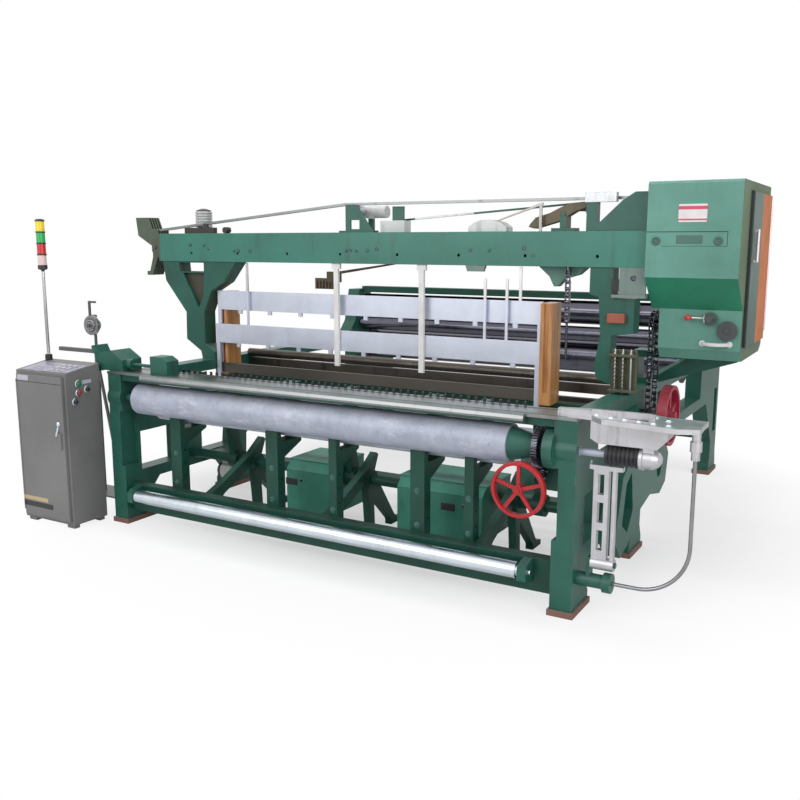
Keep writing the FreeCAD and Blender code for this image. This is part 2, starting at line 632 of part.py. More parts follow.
def plain_roller(label, back, height, radius, journal, first, last, out=0, flange=0):
    # A roller with journals through both side castings; a flange is a collar at each end.
    reach = inner_left - left + first
    end = s.frame_width - s.frame_thick - last
    outline = [(-size(out), zero), (-size(out), journal), (reach, journal), (reach, radius + flange),
               (reach + 12, radius + flange), (reach + 12, radius), (end - 12, radius),
               (end - 12, radius + flange), (end, radius + flange), (end, journal),
               (s.frame_width + out, journal), (s.frame_width + out, zero)]
    if not flange:
        outline = outline[:4] + outline[8:]
    return piece(label, turned("X", outline, (left, front + back, height)))


plain_roller("press_roller", s.press_back, s.press_height, s.press_radius, s.press_journal,
             s.take_left, s.take_right)
plain_roller("warp_beam", s.warp_back, s.warp_height, s.warp_radius, s.rear_journal, 60, 60, 30, 28)
plain_roller("back_rest_roller", s.rest_back, s.rest_height, s.rest_radius, s.rear_journal, 25, 25, 12)
plain_roller("tension_roller", s.tension_back, s.tension_height, s.tension_radius, s.rear_journal,
             25, 25, 12)

# Cloth roller: low in front, its ends running in two forked brackets on the front rail.
cloth_start = inner_left + s.cloth_left
cloth_end = inner_right - s.cloth_right
cloth_long = cloth_end - cloth_start
out = s.cloth_bracket + 22
piece("cloth_roller", turned("X", [
    (-out, zero), (-out, s.cloth_journal), (zero - 8, s.cloth_journal), (zero - 8, s.cloth_journal * 1.9),
    (zero, s.cloth_journal * 1.9), (zero, s.cloth_radius), (cloth_long, s.cloth_radius),
    (cloth_long, s.cloth_journal * 1.9), (cloth_long + 8, s.cloth_journal * 1.9),
    (cloth_long + 8, s.cloth_journal), (cloth_long + out, s.cloth_journal), (cloth_long + out, zero)],
    (cloth_start, front + s.cloth_back, s.cloth_height)))
fork = [(s.cloth_back - 34, s.cloth_height - 34), (s.front_rail_back, s.cloth_height - 62),
        (s.front_rail_back, s.cloth_height + 48), (s.cloth_back - 10, s.cloth_height + 38),
        (s.cloth_back - 34, s.cloth_height + 20)]
fork_bore = [(s.cloth_back, s.cloth_height, s.cloth_journal + s.fit)]
piece("cloth_brackets", group(
    profile("YZ", fork, s.cloth_bracket, (cloth_start - 10 - s.cloth_bracket, front, zero), (), fork_bore),
    profile("YZ", fork, s.cloth_bracket, (cloth_end + 10, front, zero), (), fork_bore)))

# Sley: curved swords on a rocking shaft carry the beam, with a round cap rail above it.
rock_at = (left, front + s.rock_back, s.rock_height)
rocking_shaft = rod("X", rock_at, s.rock_radius, s.frame_width)
sword_top = s.sley_low
sword_outline = [
    (s.rock_back - 40, s.rock_height), (s.rock_back - 62, s.rock_height + 130),
    (s.rock_back - 84, s.rock_height + 270), (s.rock_back - 84, sword_top - 80),
    (s.sley_back + 4, sword_top - 40), (s.sley_back + 4, sword_top),
    (s.sley_back + s.sley_deep - 4, sword_top), (s.sley_back + s.sley_deep - 4, sword_top - 40),
    (s.rock_back - 26, sword_top - 80), (s.rock_back - 22, s.rock_height + 270),
    (s.rock_back + 8, s.rock_height + 130), (s.rock_back + 42, s.rock_height)]


def sword(x):
    blade = profile("YZ", sword_outline, s.sword_thick, (x, front, zero))
    hub = rod("X", (x - 14, front + s.rock_back, s.rock_height), s.rock_radius * 1.9, s.sword_thick + 28)
    return cut(join(blade, hub), rod("X", (x - 15, front + s.rock_back, s.rock_height), s.rock_radius,
                                     s.sword_thick + 30))


sword_spots = [s.sword_a, s.sword_b, s.sword_c]
piece("sley_swords", group(rocking_shaft, *[sword(right - spot * spread) for spot in sword_spots]))
sley_left = inner_left + s.sley_side
sley_long = inside - s.sley_side * 2
sley_beam = box((sley_left, front + s.sley_back, s.sley_low), (sley_long, s.sley_deep, s.sley_high))
groove = box((sley_left - 1, front + s.sley_back + s.sley_deep * 0.55, s.sley_low + s.sley_high - 12),
             (sley_long + 2, 14, 13))
piece("sley_beam", cut(sley_beam, groove))
cap_height = s.sley_low + s.sley_high + s.cap_rise
cap_back = s.sley_back + s.sley_deep / 4
cap_parts = [rod("X", (sley_left, front + cap_back, cap_height), s.cap_radius, sley_long)]
for k in range(5):
    foot_x = sley_left + 60 + (sley_long - 160) / 4 * k
    cap_parts.append(box((foot_x, front + cap_back - 8, s.sley_low + s.sley_high), (40, 16, s.cap_rise)))
piece("sley_cap", join(*cap_parts))


# Cam boxes on the middle tie: the rocking shaft passes through them.
def cam_box(low, wide):
    height = s.cam_low + s.cam_high
    body = profile("YZ", [(s.cam_front, s.cam_low), (s.cam_front, height - 40),
                          (s.cam_front + 40, height), (s.cam_front + s.cam_deep, height),
                          (s.cam_front + s.cam_deep, s.cam_low)], wide, (low, front, zero), (),
                   [(s.rock_back, s.rock_height, s.rock_radius + s.fit)])
    lid = box((low - 8, front + s.cam_front + 40, height), (wide + 16, s.cam_deep - 50, 10))
    return join(body, lid)


piece("cam_boxes", group(cam_box(right - s.cam_left * spread, s.cam_wide_left),
                         cam_box(right - s.cam_right * spread, s.cam_wide_right)))

# Motor hung under the middle tie, its axis along the tie.
motor_x = right - s.motor_place * spread
motor_height = s.arch_height + 4 - s.motor_radius - 12
motor = turned("X", [(zero, zero), (zero, s.motor_radius * 0.8), (size(22), s.motor_radius * 0.96),
                     (size(22), s.motor_radius), (s.motor_long - 20, s.motor_radius),
                     (s.motor_long - 20, s.motor_radius * 0.9), (s.motor_long, s.motor_radius * 0.7),
                     (s.motor_long, zero)], (motor_x, front + tie_back + s.tie_deep / 2, motor_height))
motor_foot = box((motor_x + 30, front + tie_back + 14, motor_height + s.motor_radius * 0.8),
                 (s.motor_long - 60, s.tie_deep - 28, s.motor_radius * 0.2 + 12))
piece("motor", join(motor, motor_foot))

# Uprights on the side castings, under the beam.
beam_left = left - s.beam_left_over
beam_right = right + s.beam_gap
upright_right = profile("XZ", [
    (s.upright_wide, s.frame_top), (s.upright_wide, s.frame_top + 40), (size(-5), s.frame_top + 85),
    (size(-12), s.frame_top + 112), (size(-12), s.beam_low - 322), (size(94), s.beam_low - 308),
    (size(94), s.beam_low - 145), (size(-14), s.beam_low - 142), (size(-14), s.beam_low),
    (size(-124), s.beam_low), (size(-124), s.beam_low - 128),
    (size(-78), s.beam_low - 140), (size(-64), s.beam_low - 322), (size(-91), s.frame_top + 112),
    (size(-70), s.frame_top + 60), (zero, s.frame_top + 35), (zero, s.frame_top)], s.upright_deep,
    (inner_right, front + s.upright_back, zero))
panel = [(size(-135), s.beam_low - 70), (size(36), s.beam_low - 70), (size(26), s.beam_low - 200),
         (size(-16), s.beam_low - 286)]
upright_left = profile("XZ", [
    (zero, s.frame_top), (s.upright_wide, s.frame_top), (s.upright_wide, s.frame_top + 45),
    (size(27), s.frame_top + 90), (size(27), s.beam_low - 310), (size(90), s.beam_low - 176),
    (size(189), s.beam_low - 123), (size(291), s.beam_low), (size(-300), s.beam_low),
    (size(-280), s.beam_low - 120), (size(-120), s.beam_low - 312), (size(-124), s.frame_top + 115),
    (size(-10), s.frame_top + 45)], s.upright_deep, (left, front + s.upright_back, zero),
    [panel, [(size(-165), s.beam_low - 8), (size(36), s.beam_low - 8), (size(36), s.beam_low - 62),
             (size(-160), s.beam_low - 62)]])
upright_panel = profile("XZ", panel, 10, (left, front + s.upright_back + 30, zero))
piece("uprights", group(upright_left, upright_right, upright_panel))
beam_long = beam_right - beam_left
beam = box((beam_left, front + s.beam_back, s.beam_low), (beam_long, s.beam_deep, s.beam_high))
beam_inside = box((beam_left - 1, front + s.beam_back + s.beam_wall, s.beam_low + s.beam_wall),
                  (beam_long + 2, s.beam_deep - s.beam_wall * 2, s.beam_high - s.beam_wall * 2))
beam_holes = [rod("Y", (beam_left + 260 + (beam_long - 500) / 7 * k, front + s.beam_back - 1,
                        s.beam_low + s.beam_high * 0.3), 8, s.beam_wall + 2) for k in range(8)]
piece("top_beam", cut(beam, beam_inside, *beam_holes))

# Tie under the heald frames, the wooden guides on it, and the two heald frames between them.
guide_back = s.heald_rear_back + s.heald_thick + s.heald_gap


def wooden_guide(x, back):
    block = box((x, front + back, s.guide_low), (s.guide_thick, s.guide_deep, s.guide_high))
    return cut(block, box((x + s.guide_thick * 0.3, front + back - 1, s.guide_low + 60),
                          (s.guide_thick * 0.4, 14, s.guide_high - 59)))


heald_end = right - s.heald_right
heald_start = left + s.heald_left
piece("wooden_guides", group(
    wooden_guide(inner_left, guide_back),
    wooden_guide(heald_end + s.heald_gap, s.heald_rear_back - 30)))


def heald_frame(label, back, low, hangers, hanger_top):
    # Two rails and two stiles, with flat hangers up to the beam.
    long = heald_end - heald_start
    y = front + back
    bottom = low + s.heald_rail - s.heald_tall
    parts = [box((heald_start, y, low), (long, s.heald_thick, s.heald_rail)),
             box((heald_start, y, bottom), (long, s.heald_thick, s.heald_rail * 0.5))]
    for x in (heald_start, heald_end - s.heald_stile):
        parts.append(box((x, y, bottom), (s.heald_stile, s.heald_thick, s.heald_tall)))
    for spot in hangers:
        parts.append(box((right - spot * spread, y + 2, low + s.heald_rail - 1),
                         (14, s.heald_thick - 4, hanger_top - low - s.heald_rail + 1)))
    for k in range(9):
        hook_x = heald_start + 160 + (long - 320) / 8 * k
        parts.append(box((hook_x, y + 1, low - 22), (26, s.heald_thick - 2, 23)))
    return piece(label, join(*parts))


heald_frame("heald_frame_rear", s.heald_rear_back, s.heald_rear_low, (2360, 600), s.beam_low - 4)
heald_frame("heald_frame_front", s.heald_rear_back - s.heald_pitch, s.heald_front_low,
            (2342, 784, 663), s.beam_low - 4 - s.shed)

# Cream spacers hang from the beam, in front of the heald rails.
spacer_back = s.heald_rear_back - s.heald_pitch - 2 - s.spacer_thick
piece("rail_spacers", group(*[
    join(box((right - spot * spread, front + spacer_back, s.spacer_low),
             (30, s.spacer_thick, s.beam_low - s.spacer_low)),
         box((right - spot * spread - 12, front + spacer_back, s.beam_low - 30), (54, s.spacer_thick, 30)))
    for spot in (s.spacer_a, s.spacer_b)]))

# Jack levers at the beam's left end, on one pin between two ears.
jack_x = beam_left - s.jack_reach
jack_height = s.beam_low + s.beam_high / 2
jack_outline = [(22, -14), (22, 108), (-30, 114), (-60, 185), (-165, 185), (-150, 72), (-30, 6),
                (-30, -60), (-60, -150), (-85, -150), (-85, -175), (-40, -175), (12, -60)]
jack_bore = [(zero, zero, s.pin_radius + s.fit)]


def jack_lever(k):
    y = front + s.jack_back + s.jack_pitch * k
    return profile("XZ", [(size(a), size(b)) for a, b in jack_outline], s.jack_thick,
                   (jack_x, y, jack_height), (), jack_bore)


piece("jack_lever_front", jack_lever(0))
piece("jack_lever_rear", jack_lever(1))
for k, place_name in enumerate(("third", "fourth", "fifth"), start=2):
    piece("jack_lever_" + place_name, jack_lever(k))
jack_end = s.jack_back + s.jack_pitch * 4 + s.jack_thick
ear = [(s.jack_reach - 12, -s.beam_high / 2), (s.jack_reach - 12, s.beam_high / 2),
       (size(-26), size(26)), (size(-26), size(-26))]
ear_front = s.jack_back - s.gap - 10
ears = [profile("XZ", ear, 10, (jack_x, front + back, jack_height), (), [(zero, zero, s.pin_radius)])
        for back in (ear_front, jack_end + s.gap)]
end_plate = box((beam_left - 12, front + s.beam_back, s.beam_low), (12, s.beam_deep, s.beam_high))
jack_pin = rod("Y", (jack_x, front + ear_front - 8, jack_height), s.pin_radius,
               jack_end - ear_front + 26 + s.gap)
jack_bracket = join(end_plate, jack_pin, *ears)

# Pull rods: from a jack lever up over the guide roller, then level into the shedding head.
knee_x = right - s.knee_place * spread
rod_low = jack_height + 103


def pull_rod(label, k):
    # A sloping link from the lever to the knee, and a level bar from there into the head.
    y = front + s.jack_back + s.jack_pitch * k + s.jack_thick + s.gap
    half = s.rod_high / 2
    link = profile("XZ", [(jack_x - 8, rod_low - half), (knee_x, s.rod_level - half),
                          (knee_x, s.rod_level + half), (jack_x - 8, rod_low + half)],
                   s.rod_thick, (zero, y, zero))
    bar = box((knee_x, y, s.rod_level - half), (right + s.beam_gap + 6 - knee_x, s.rod_thick, s.rod_high))
    return piece(label, group(link, bar))


pull_rod("pull_rod_front", 0)
pull_rod("pull_rod_rear", 1)

# Triangular bracket on the beam, with the roller that the pull rods run over.
beam_top = s.beam_low + s.beam_high
roll_x = knee_x + 70
roll_height = s.rod_level - s.rod_high / 2 - s.gap - s.guide_roll
bracket_y = front + s.beam_back + 14
tri = [(size(-46), beam_top), (size(130), beam_top), (size(24), roll_height + 34),
       (size(-46), roll_height + 34)]
tri_window = [(size(-14), beam_top + 18), (size(44), beam_top + 18), (size(44), beam_top + 66),
              (size(-14), beam_top + 66)]
tri_plate = profile("XZ", tri, 12, (roll_x, bracket_y, zero), [tri_window])
tri_foot = box((roll_x - 90, bracket_y, beam_top), (220, 60, 10))
tri_pin = rod("Y", (roll_x, bracket_y + 11, roll_height), s.pin_radius, s.roll_long + 4)
rod_bracket = join(tri_plate, tri_foot, tri_pin)
drum_y = front + s.beam_back + s.beam_deep
drum = join(rod("X", (roll_x - 34, drum_y + 4, roll_height - 4), 33, 172),
            box((roll_x + 30, drum_y - 22, beam_top), (30, 22, roll_height - beam_top)))
block = join(box((roll_x + 150, drum_y - 90, beam_top), (150, 70, 62)),
             box((roll_x + 214, drum_y - 70, beam_top + 61), (70, 12, 76)))
piece("rod_guide_roller", cut(rod("Y", (roll_x, bracket_y + 12 + s.gap, roll_height), s.guide_roll,
                                  s.roll_long),
                              rod("Y", (roll_x, bracket_y + 11, roll_height), s.pin_radius + s.fit,
                                  s.roll_long + 10)))

# Lever block at the beam's left end, and a comb of jaws on an arm under its middle.
lever_block = join(box((left - 105, front + s.beam_back + 7, beam_top), (230, 36, 34)),
                   box((left + 45, front + s.beam_back + 10, beam_top + 33), (30, 14, 24)),
                   rod("Y", (left + 215, front + s.beam_back + 6, beam_top + 18), 18, 40))
jaw_x = right - 1815
jaw_arm = profile("XZ", [(jaw_x + 60, s.beam_low - 66), (jaw_x + 480, s.beam_low),
                         (jaw_x + 420, s.beam_low), (jaw_x + 60, s.beam_low - 50)], 14,
                  (zero, front + s.beam_back + 120, zero))
jaws = join(jaw_arm, box((jaw_x, front + s.beam_back + 112, s.beam_low - 110), (84, 30, 60)),
            *[box((jaw_x - 84 + 22 * k, front + s.beam_back + 116, s.beam_low - 150), (12, 24, 62))
              for k in range(7)],
            box((jaw_x - 84, front + s.beam_back + 118, s.beam_low - 104), (160, 20, 14)))

# Ribbed cap and knob on the beam's left end; wedge bracket at the head.
cap_x = beam_left + 250
ribs = [(zero, zero), (zero, size(40)), (size(34), size(40))]
for k in range(4):
    low = 34 + k * 22
    ribs += [(size(low), size(31)), (size(low + 8), size(31)), (size(low + 8), size(36)),
             (size(low + 22), size(36))]
ribs += [(size(130), size(26)), (size(142), size(14)), (size(142), zero)]
piece("ribbed_cap", turned("Z", ribs, (cap_x, front + s.beam_back + 118, beam_top)))
wedge = [(right - 190, beam_top), (beam_right, beam_top), (beam_right, s.rod_level + 24),
         (right - 20, s.rod_level + 24), (right - 80, s.rod_level - 14), (right - 190, beam_top + 36)]
wedge_body = profile("XZ", wedge, 22, (zero, front + s.beam_back + 12, zero))
wedge_foot = box((right - 190, front + s.beam_back + 12, beam_top), (190, s.beam_deep - 40, 12))
spool_pin = rod("Y", (right - 240, front + s.beam_back + 30, s.rod_level - 58), 20, 54)
spool_arm = box((right - 250, front + s.beam_back + 12, beam_top), (60, 20, 134))
spool_box = box((right - 257, front + s.beam_back + 4, beam_top + 133), (151, 34, 45))
head_wedge = join(wedge_body, wedge_foot, spool_pin, spool_arm, spool_box)

# Selector levers beside the wedge: a fan on one pin, a long thin rod from it, and a low hub.
stack_x = right - 385
stack_y = front + s.beam_back + 70


def fan_lever(k):
    drop = 9 * k
    outline = [(-180 + drop, -62 + drop), (-150, -70), (-20, -34), (60, 12), (140, 36 - drop),
               (140, 52 - drop), (30, 50), (-30, 24), (-170, -44 + drop)]
    return profile("XZ", [(size(a), size(b)) for a, b in outline], 9,
                   (stack_x, stack_y + 17 * k, beam_top + 84))


fan = join(box((stack_x - 60, stack_y - 4, beam_top), (120, 72, 16)),
           box((stack_x - 16, stack_y - 4, beam_top + 15), (32, 72, 60)),
           rod("Y", (stack_x, stack_y - 6, beam_top + 84), 12, 76), *[fan_lever(k) for k in range(4)])
strip_x = right - 1330
strip = profile("XZ", [(strip_x, beam_top + 60), (strip_x, beam_top + 70), (stack_x + 100, beam_top + 143),
                       (stack_x + 100, beam_top + 133)], 8, (zero, stack_y + 62, zero))
strip_foot = box((strip_x, stack_y + 61, beam_top), (16, 12, 66))
low_hub = profile("XZ", [(right - 877, beam_top), (right - 668, beam_top), (right - 668, beam_top + 22),
                         (right - 700, beam_top + 46), (right - 745, beam_top + 59),
                         (right - 800, beam_top + 59), (right - 845, beam_top + 46),
                         (right - 877, beam_top + 22)], 84, (zero, front + s.beam_back + 30, zero))
link_end = right - 480
hub_link = profile("XZ", [(right - 740, beam_top + 50), (right - 725, beam_top + 50),
                          (link_end, beam_top + 128), (link_end, beam_top + 138),
                          (link_end - 10, beam_top + 138)], 8, (zero, front + s.beam_back + 44, zero))
hub_post = box((right - 500, front + s.beam_back + 44, beam_top), (14, 8, 130))
head_side = group(fan, join(strip, strip_foot), join(low_hub, hub_link, hub_post))

# Castings under the beam near the head, and a shelf on a plate beside the right upright.
hang_a = profile("XZ", [(right - 876, s.beam_low), (right - 766, s.beam_low), (right - 776, s.beam_low - 30),
                        (right - 866, s.beam_low - 30)], 22, (zero, front + s.beam_back, zero))
hang_b = profile("XZ", [(right - 508, s.beam_low), (right - 253, s.beam_low), (right - 300, s.beam_low - 40),
                        (right - 370, s.beam_low - 60), (right - 405, s.beam_low - 99),
                        (right - 425, s.beam_low - 99), (right - 450, s.beam_low - 50)], 50,
                 (zero, front + s.beam_back + 75, zero))
shelf_plate = profile("XZ", [(right - 77, s.beam_low - 140), (right + 49, s.beam_low - 140),
                             (right + 49, s.beam_low), (right - 77, s.beam_low)], 12,
                      (zero, front + s.beam_back, zero), (), [(right - 10, s.beam_low - 48, 14)])
shelf = join(shelf_plate, box((right - 109, front + s.beam_back - 14, s.beam_low - 140), (161, 40, 14)),
             box((right - 110.5, front + s.beam_back + 2, s.beam_low - 113), (36, 40, 59)))
piece("beam_brackets", group(jack_bracket, rod_bracket, drum, block, head_wedge, head_side, hang_a,
                             hang_b, shelf, lever_block, jaws))

# Shedding head: an overhanging hood, the lower casing, a hinged side door, lever, dial and handle.
head_left = right + s.beam_gap
hood = profile("YZ", [(s.head_front, s.head_low), (s.head_front, s.head_top - 12),
                      (s.head_front + 12, s.head_top), (s.head_back, s.head_top),
                      (s.head_back, s.head_neck), (s.head_front + s.head_chin, s.head_neck)],
               s.head_wide, (head_left, front, zero))
rod_slot = box((head_left - 1, front + s.jack_back - 4, s.rod_level - s.rod_high),
               (s.head_slot, s.jack_pitch + s.jack_thick * 2 + 12, s.rod_high * 2))
door_recess = box((head_left + s.head_wide - s.recess_deep, front + s.door_front + 20, s.head_neck + 30),
                  (s.recess_deep + 1, s.door_deep - 40, s.door_low + s.door_high - s.head_neck - 50))
piece("head_hood", cut(hood, rod_slot, door_recess))
body_left = head_left + s.body_inset
body_wide = s.head_wide - s.body_inset
body_front = s.head_front + s.head_chin
head_body = profile("YZ", [(body_front, s.body_low + 50), (body_front, s.head_neck),
                           (s.head_back, s.head_neck), (s.head_back, s.body_low + 30),
                           (s.head_back - 60, s.body_low), (body_front + 40, s.body_low)],
                    body_wide, (body_left, front, zero))
lever_x = head_left + s.lever_place
lever_height = s.head_neck - s.lever_drop
input_height = s.main_height + (s.chain_links - s.sprocket_teeth) / 2 * s.chain_pitch
lever_hole = rod("Y", (lever_x, front + body_front - 1, lever_height), s.pin_radius + s.fit, 31)
input_hole = rod("X", (body_left - 1, front + s.main_back, input_height), s.main_radius + s.fit, 61)
head_casing = cut(head_body, lever_hole, input_hole)
piece("head_door", join(
    rod("Z", (head_left + s.head_wide + s.gap + s.door_thick, front + s.door_front + s.door_deep,
              s.door_low + 40), s.knuckle, s.door_high - 80),
    box((head_left + s.head_wide + s.gap, front + s.door_front, s.door_low),
        (s.door_thick, s.door_deep, s.door_high)),
    rod("Z", (head_left + s.head_wide + s.gap + s.door_thick + 14, front + s.door_front + 60,
              s.door_low + s.door_high * 0.55), 7, 150),
    box((head_left + s.head_wide + s.gap + s.door_thick - 1, front + s.door_front + 54,
         s.door_low + s.door_high * 0.55), (20, 12, 12)),
    box((head_left + s.head_wide + s.gap + s.door_thick - 1, front + s.door_front + 54,
         s.door_low + s.door_high * 0.55 + 138), (20, 12, 12))))


def round_end(radius):
    # A ball's profile, as a half ring of straight sides.
    sides = 8
    return [(-radius * math.cos(math.pi * k / sides), radius * math.sin(math.pi * k / sides))
            for k in range(sides)] + [(radius, zero)]


def select_lever():
    y = front + body_front
    hub = rod("Y", (lever_x, y - 24, lever_height), 30, 24 - float(s.gap))
    pin = rod("Y", (lever_x, y - 24, lever_height), s.pin_radius, 50)
    arm = rod("X", (lever_x - 92, y - 30, lever_height + 4), 6, 80)
    ball = turned("X", round_end(s.ball_radius), (lever_x - 96, y - 30, lever_height + 4))
    block = rod("Y", (lever_x, y - 38, lever_height), 16, 15)
    return join(hub, pin, arm, ball, block)


piece("select_lever", select_lever())
dial_x = lever_x + 78
head_dial = join(rod("Y", (dial_x, front + body_front - 14, lever_height - 52), 44, 14),
                 rod("Y", (dial_x, front + body_front - 22, lever_height - 52), 13, 9))


def pull_handle():
    # A bar bowed forwards between two feet.
    y = float(front + body_front)
    x = float(lever_x) - 30
    z = float(s.body_low) + 80
    foot = 9
    reach = 42
    first = vector(x, y, z)
    last = vector(x + 120, y, z)
    bow = Part.Arc(first, vector(x + 60, y - reach, z), last)
    path = Part.Wire([bow.toShape()])
    start = bow.tangent(bow.FirstParameter)[0]
    section = Part.Wire([Part.makeCircle(foot, first, start)])
    bar = path.makePipeShell([section], True, False)
    keep = Part.makeBox(200, reach + 30, 60, vector(x - 40, y - reach - 30, z - 30))
    bar = bar.common(keep)
    for end in (first, last):
        bar = bar.fuse(Part.makeCylinder(14, 5, end, vector(0, -1, 0)))
    return shaped(bar.removeSplitter(), (zero, zero, zero))


piece("head_body", group(head_casing, head_dial, pull_handle()))
knee = [(zero, s.frame_top), (s.frame_thick, s.frame_top), (s.frame_thick + s.head_wide, s.body_low - 34),
        (s.frame_thick + s.head_wide, s.body_low), (zero, s.body_low)]
knee_window = [(size(24), s.frame_top + 30), (s.frame_thick, s.frame_top + 30),
               (s.frame_thick + s.head_wide * 0.4, s.body_low - 34), (size(24), s.body_low - 34)]
piece("head_bracket", profile("XZ", knee, 120, (inner_right, front + s.main_back + 130, zero),
                              [knee_window]))

# Main shaft across the machine, with its spoked flywheel and chain sprocket outside the right frame.
main_at = front + s.main_back
pitch_radius = float(s.chain_pitch) / 2 / math.sin(math.pi / float(s.sprocket_teeth))
chain_x = right + s.chain_out


# The teeth end inside the chain's pins, and run in a groove in its rollers.
tooth_tip = pitch_radius - float(s.roller_radius * 0.42 + s.gap * 2)


def sprocket(hub_long):
    # Teeth stand between the chain's rollers; one roller lies on the +Y side of the centre.
    teeth = int(float(s.sprocket_teeth))
    roller = float(s.roller_radius)
    root = pitch_radius - roller - 0.6
    tip = tooth_tip
    corners = []
    for k in range(teeth):
        middle = (k + 0.5) * 2 * math.pi / teeth
        for reach, half in ((root, -0.8), (tip, -0.42), (tip, 0.42), (root, 0.8)):
            side = half * roller
            corners.append(vector(0, reach * math.cos(middle) - side * math.sin(middle),
                                  reach * math.sin(middle) + side * math.cos(middle)))
    face = float(s.tooth_face)
    wheel = Part.Face(Part.makePolygon(corners + corners[:1])).extrude(vector(face, 0, 0))
    wheel.translate(vector(-face / 2, 0, 0))
    hub = Part.makeCylinder(float(s.main_radius) * 1.6, hub_long, vector(-face / 2, 0, 0), vector(1, 0, 0))
    return wheel.fuse(hub)


def main_shaft():
    low = float(left) - 30
    high = float(right + s.fly_out + s.fly_width) + 14
    shaft = Part.makeCylinder(float(s.main_radius), high - low, vector(low, 0, 0), vector(1, 0, 0))
    lower = sprocket(30)
    lower.translate(vector(float(chain_x), 0, 0))
    x = float(right + s.fly_out)
    wide = float(s.fly_width)
    outer = float(s.fly_radius)
    rim = Part.makeCylinder(outer, wide, vector(x, 0, 0), vector(1, 0, 0))
    rim = rim.cut(Part.makeCylinder(outer - 20, wide + 2, vector(x - 1, 0, 0), vector(1, 0, 0)))
    hub = Part.makeCylinder(36, wide, vector(x, 0, 0), vector(1, 0, 0))
    parts = [lower, rim, hub]
    for k in range(5):
        arm = Part.makeBox(wide * 0.4, 26, outer - 14, vector(x + wide * 0.3, -13, 0))
        arm.rotate(vector(0, 0, 0), vector(1, 0, 0), k * 72)
        parts.append(arm)
    return shaped(shaft.fuse(parts).removeSplitter(), (zero, main_at, s.main_height))


piece("main_shaft", main_shaft())


def head_sprocket():
    inner = float(body_left - chain_x) + 60 - 2
    shaft = Part.makeCylinder(float(s.main_radius), inner + 8, vector(-8, 0, 0), vector(1, 0, 0))
    return shaped(shaft.fuse(sprocket(20)).removeSplitter(), (chain_x, main_at, input_height))


piece("head_sprocket", head_sprocket())


def chain_spots(count, teeth):
    # Roller centres round the loop: up one run, over the top, down the other run and under.
    run = (count - teeth) // 2
    pitch = float(s.chain_pitch)
    spots = [(pitch_radius, k * pitch) for k in range(run)]
    for k in range(teeth // 2):
        angle = k * 2 * math.pi / teeth
        spots.append((pitch_radius * math.cos(angle), run * pitch + pitch_radius * math.sin(angle)))
    spots += [(-pitch_radius, (run - k) * pitch) for k in range(run)]
    for k in range(teeth // 2):
        angle = math.pi + k * 2 * math.pi / teeth
        spots.append((pitch_radius * math.cos(angle), pitch_radius * math.sin(angle)))
    return spots


def prism(x, long, radius, spot, sides):
    ring = [vector(x, spot[0] + radius * math.cos(2 * math.pi * k / sides),
                   spot[1] + radius * math.sin(2 * math.pi * k / sides)) for k in range(sides)]
    return Part.Face(Part.makePolygon(ring + ring[:1])).extrude(vector(long, 0, 0))


def chain(spots, closed):
    # Rollers on pins between side plates; every other link's plates lie outside its neighbours'.
    half = float(s.roller_long) / 2
    thick = float(s.link_thick)
    wide = float(s.link_wide) / 2
    parts = []
    for spot in spots:
        parts.append(prism(-half, half * 2, float(s.roller_radius), spot, 8))
        parts.append(prism(-half - thick * 2 - 1.6, (half + thick * 2 + 1.6) * 2,
                           float(s.roller_radius) * 0.42, spot, 6))
    links = list(zip(spots, spots[1:] + spots[:1]))
    for k, (here, there) in enumerate(links if closed else links[:-1]):
        along = vector(0, there[0] - here[0], there[1] - here[1])
        long = along.Length
        along.normalize()
        across = vector(0, -along.z, along.y)
        start = vector(0, here[0], here[1])
        outline = [(-wide * 0.9, -wide * 0.4), (-wide * 0.4, -wide), (long + wide * 0.4, -wide),
                   (long + wide * 0.9, -wide * 0.4), (long + wide * 0.9, wide * 0.4),
                   (long + wide * 0.4, wide), (-wide * 0.4, wide), (-wide * 0.9, wide * 0.4)]
        corners = [start + along * a + across * b for a, b in outline]
        plate = Part.Face(Part.makePolygon(corners + corners[:1])).extrude(vector(thick, 0, 0))
        shift = half if k % 2 else half + thick
        for x in (shift, -shift - thick):
            side = plate.copy()
            side.translate(vector(x, 0, 0))
            parts.append(side)
    return parts[0].fuse(parts[1:])


loop = chain(chain_spots(int(float(s.chain_links)), int(float(s.sprocket_teeth))), True)
groove_wide = float(s.tooth_face + s.gap * 3)
for groove_height in (0, float(input_height - s.main_height)):
    loop = loop.cut(Part.makeCylinder(tooth_tip + float(s.gap), groove_wide,
                                      vector(-groove_wide / 2, 0, groove_height), vector(1, 0, 0)))
drive_chain = shaped(loop, (chain_x, main_at, s.main_height))
hang_spots = [(0, -k * float(s.chain_pitch)) for k in range(int(float(s.hang_links)))]
hanging = chain(hang_spots, False)
hang_top = s.beam_low - s.roller_radius * 1.3
hanging_chain = shaped(hanging, (right - s.hang_place, front + s.beam_back + 40, hang_top))
hang_bottom = hang_top - s.chain_pitch * (s.hang_links - 1)
hang_lug = box((right - s.hang_place - 5, front + s.beam_back + 30, s.beam_low - 18), (10, 20, 18))
hang_rod = rod("Z", (right - s.hang_place, front + s.beam_back + 40, hang_bottom - 190),
               6, 190)
piece("drive_chain", group(drive_chain, join(hanging_chain, hang_lug, hang_rod)))

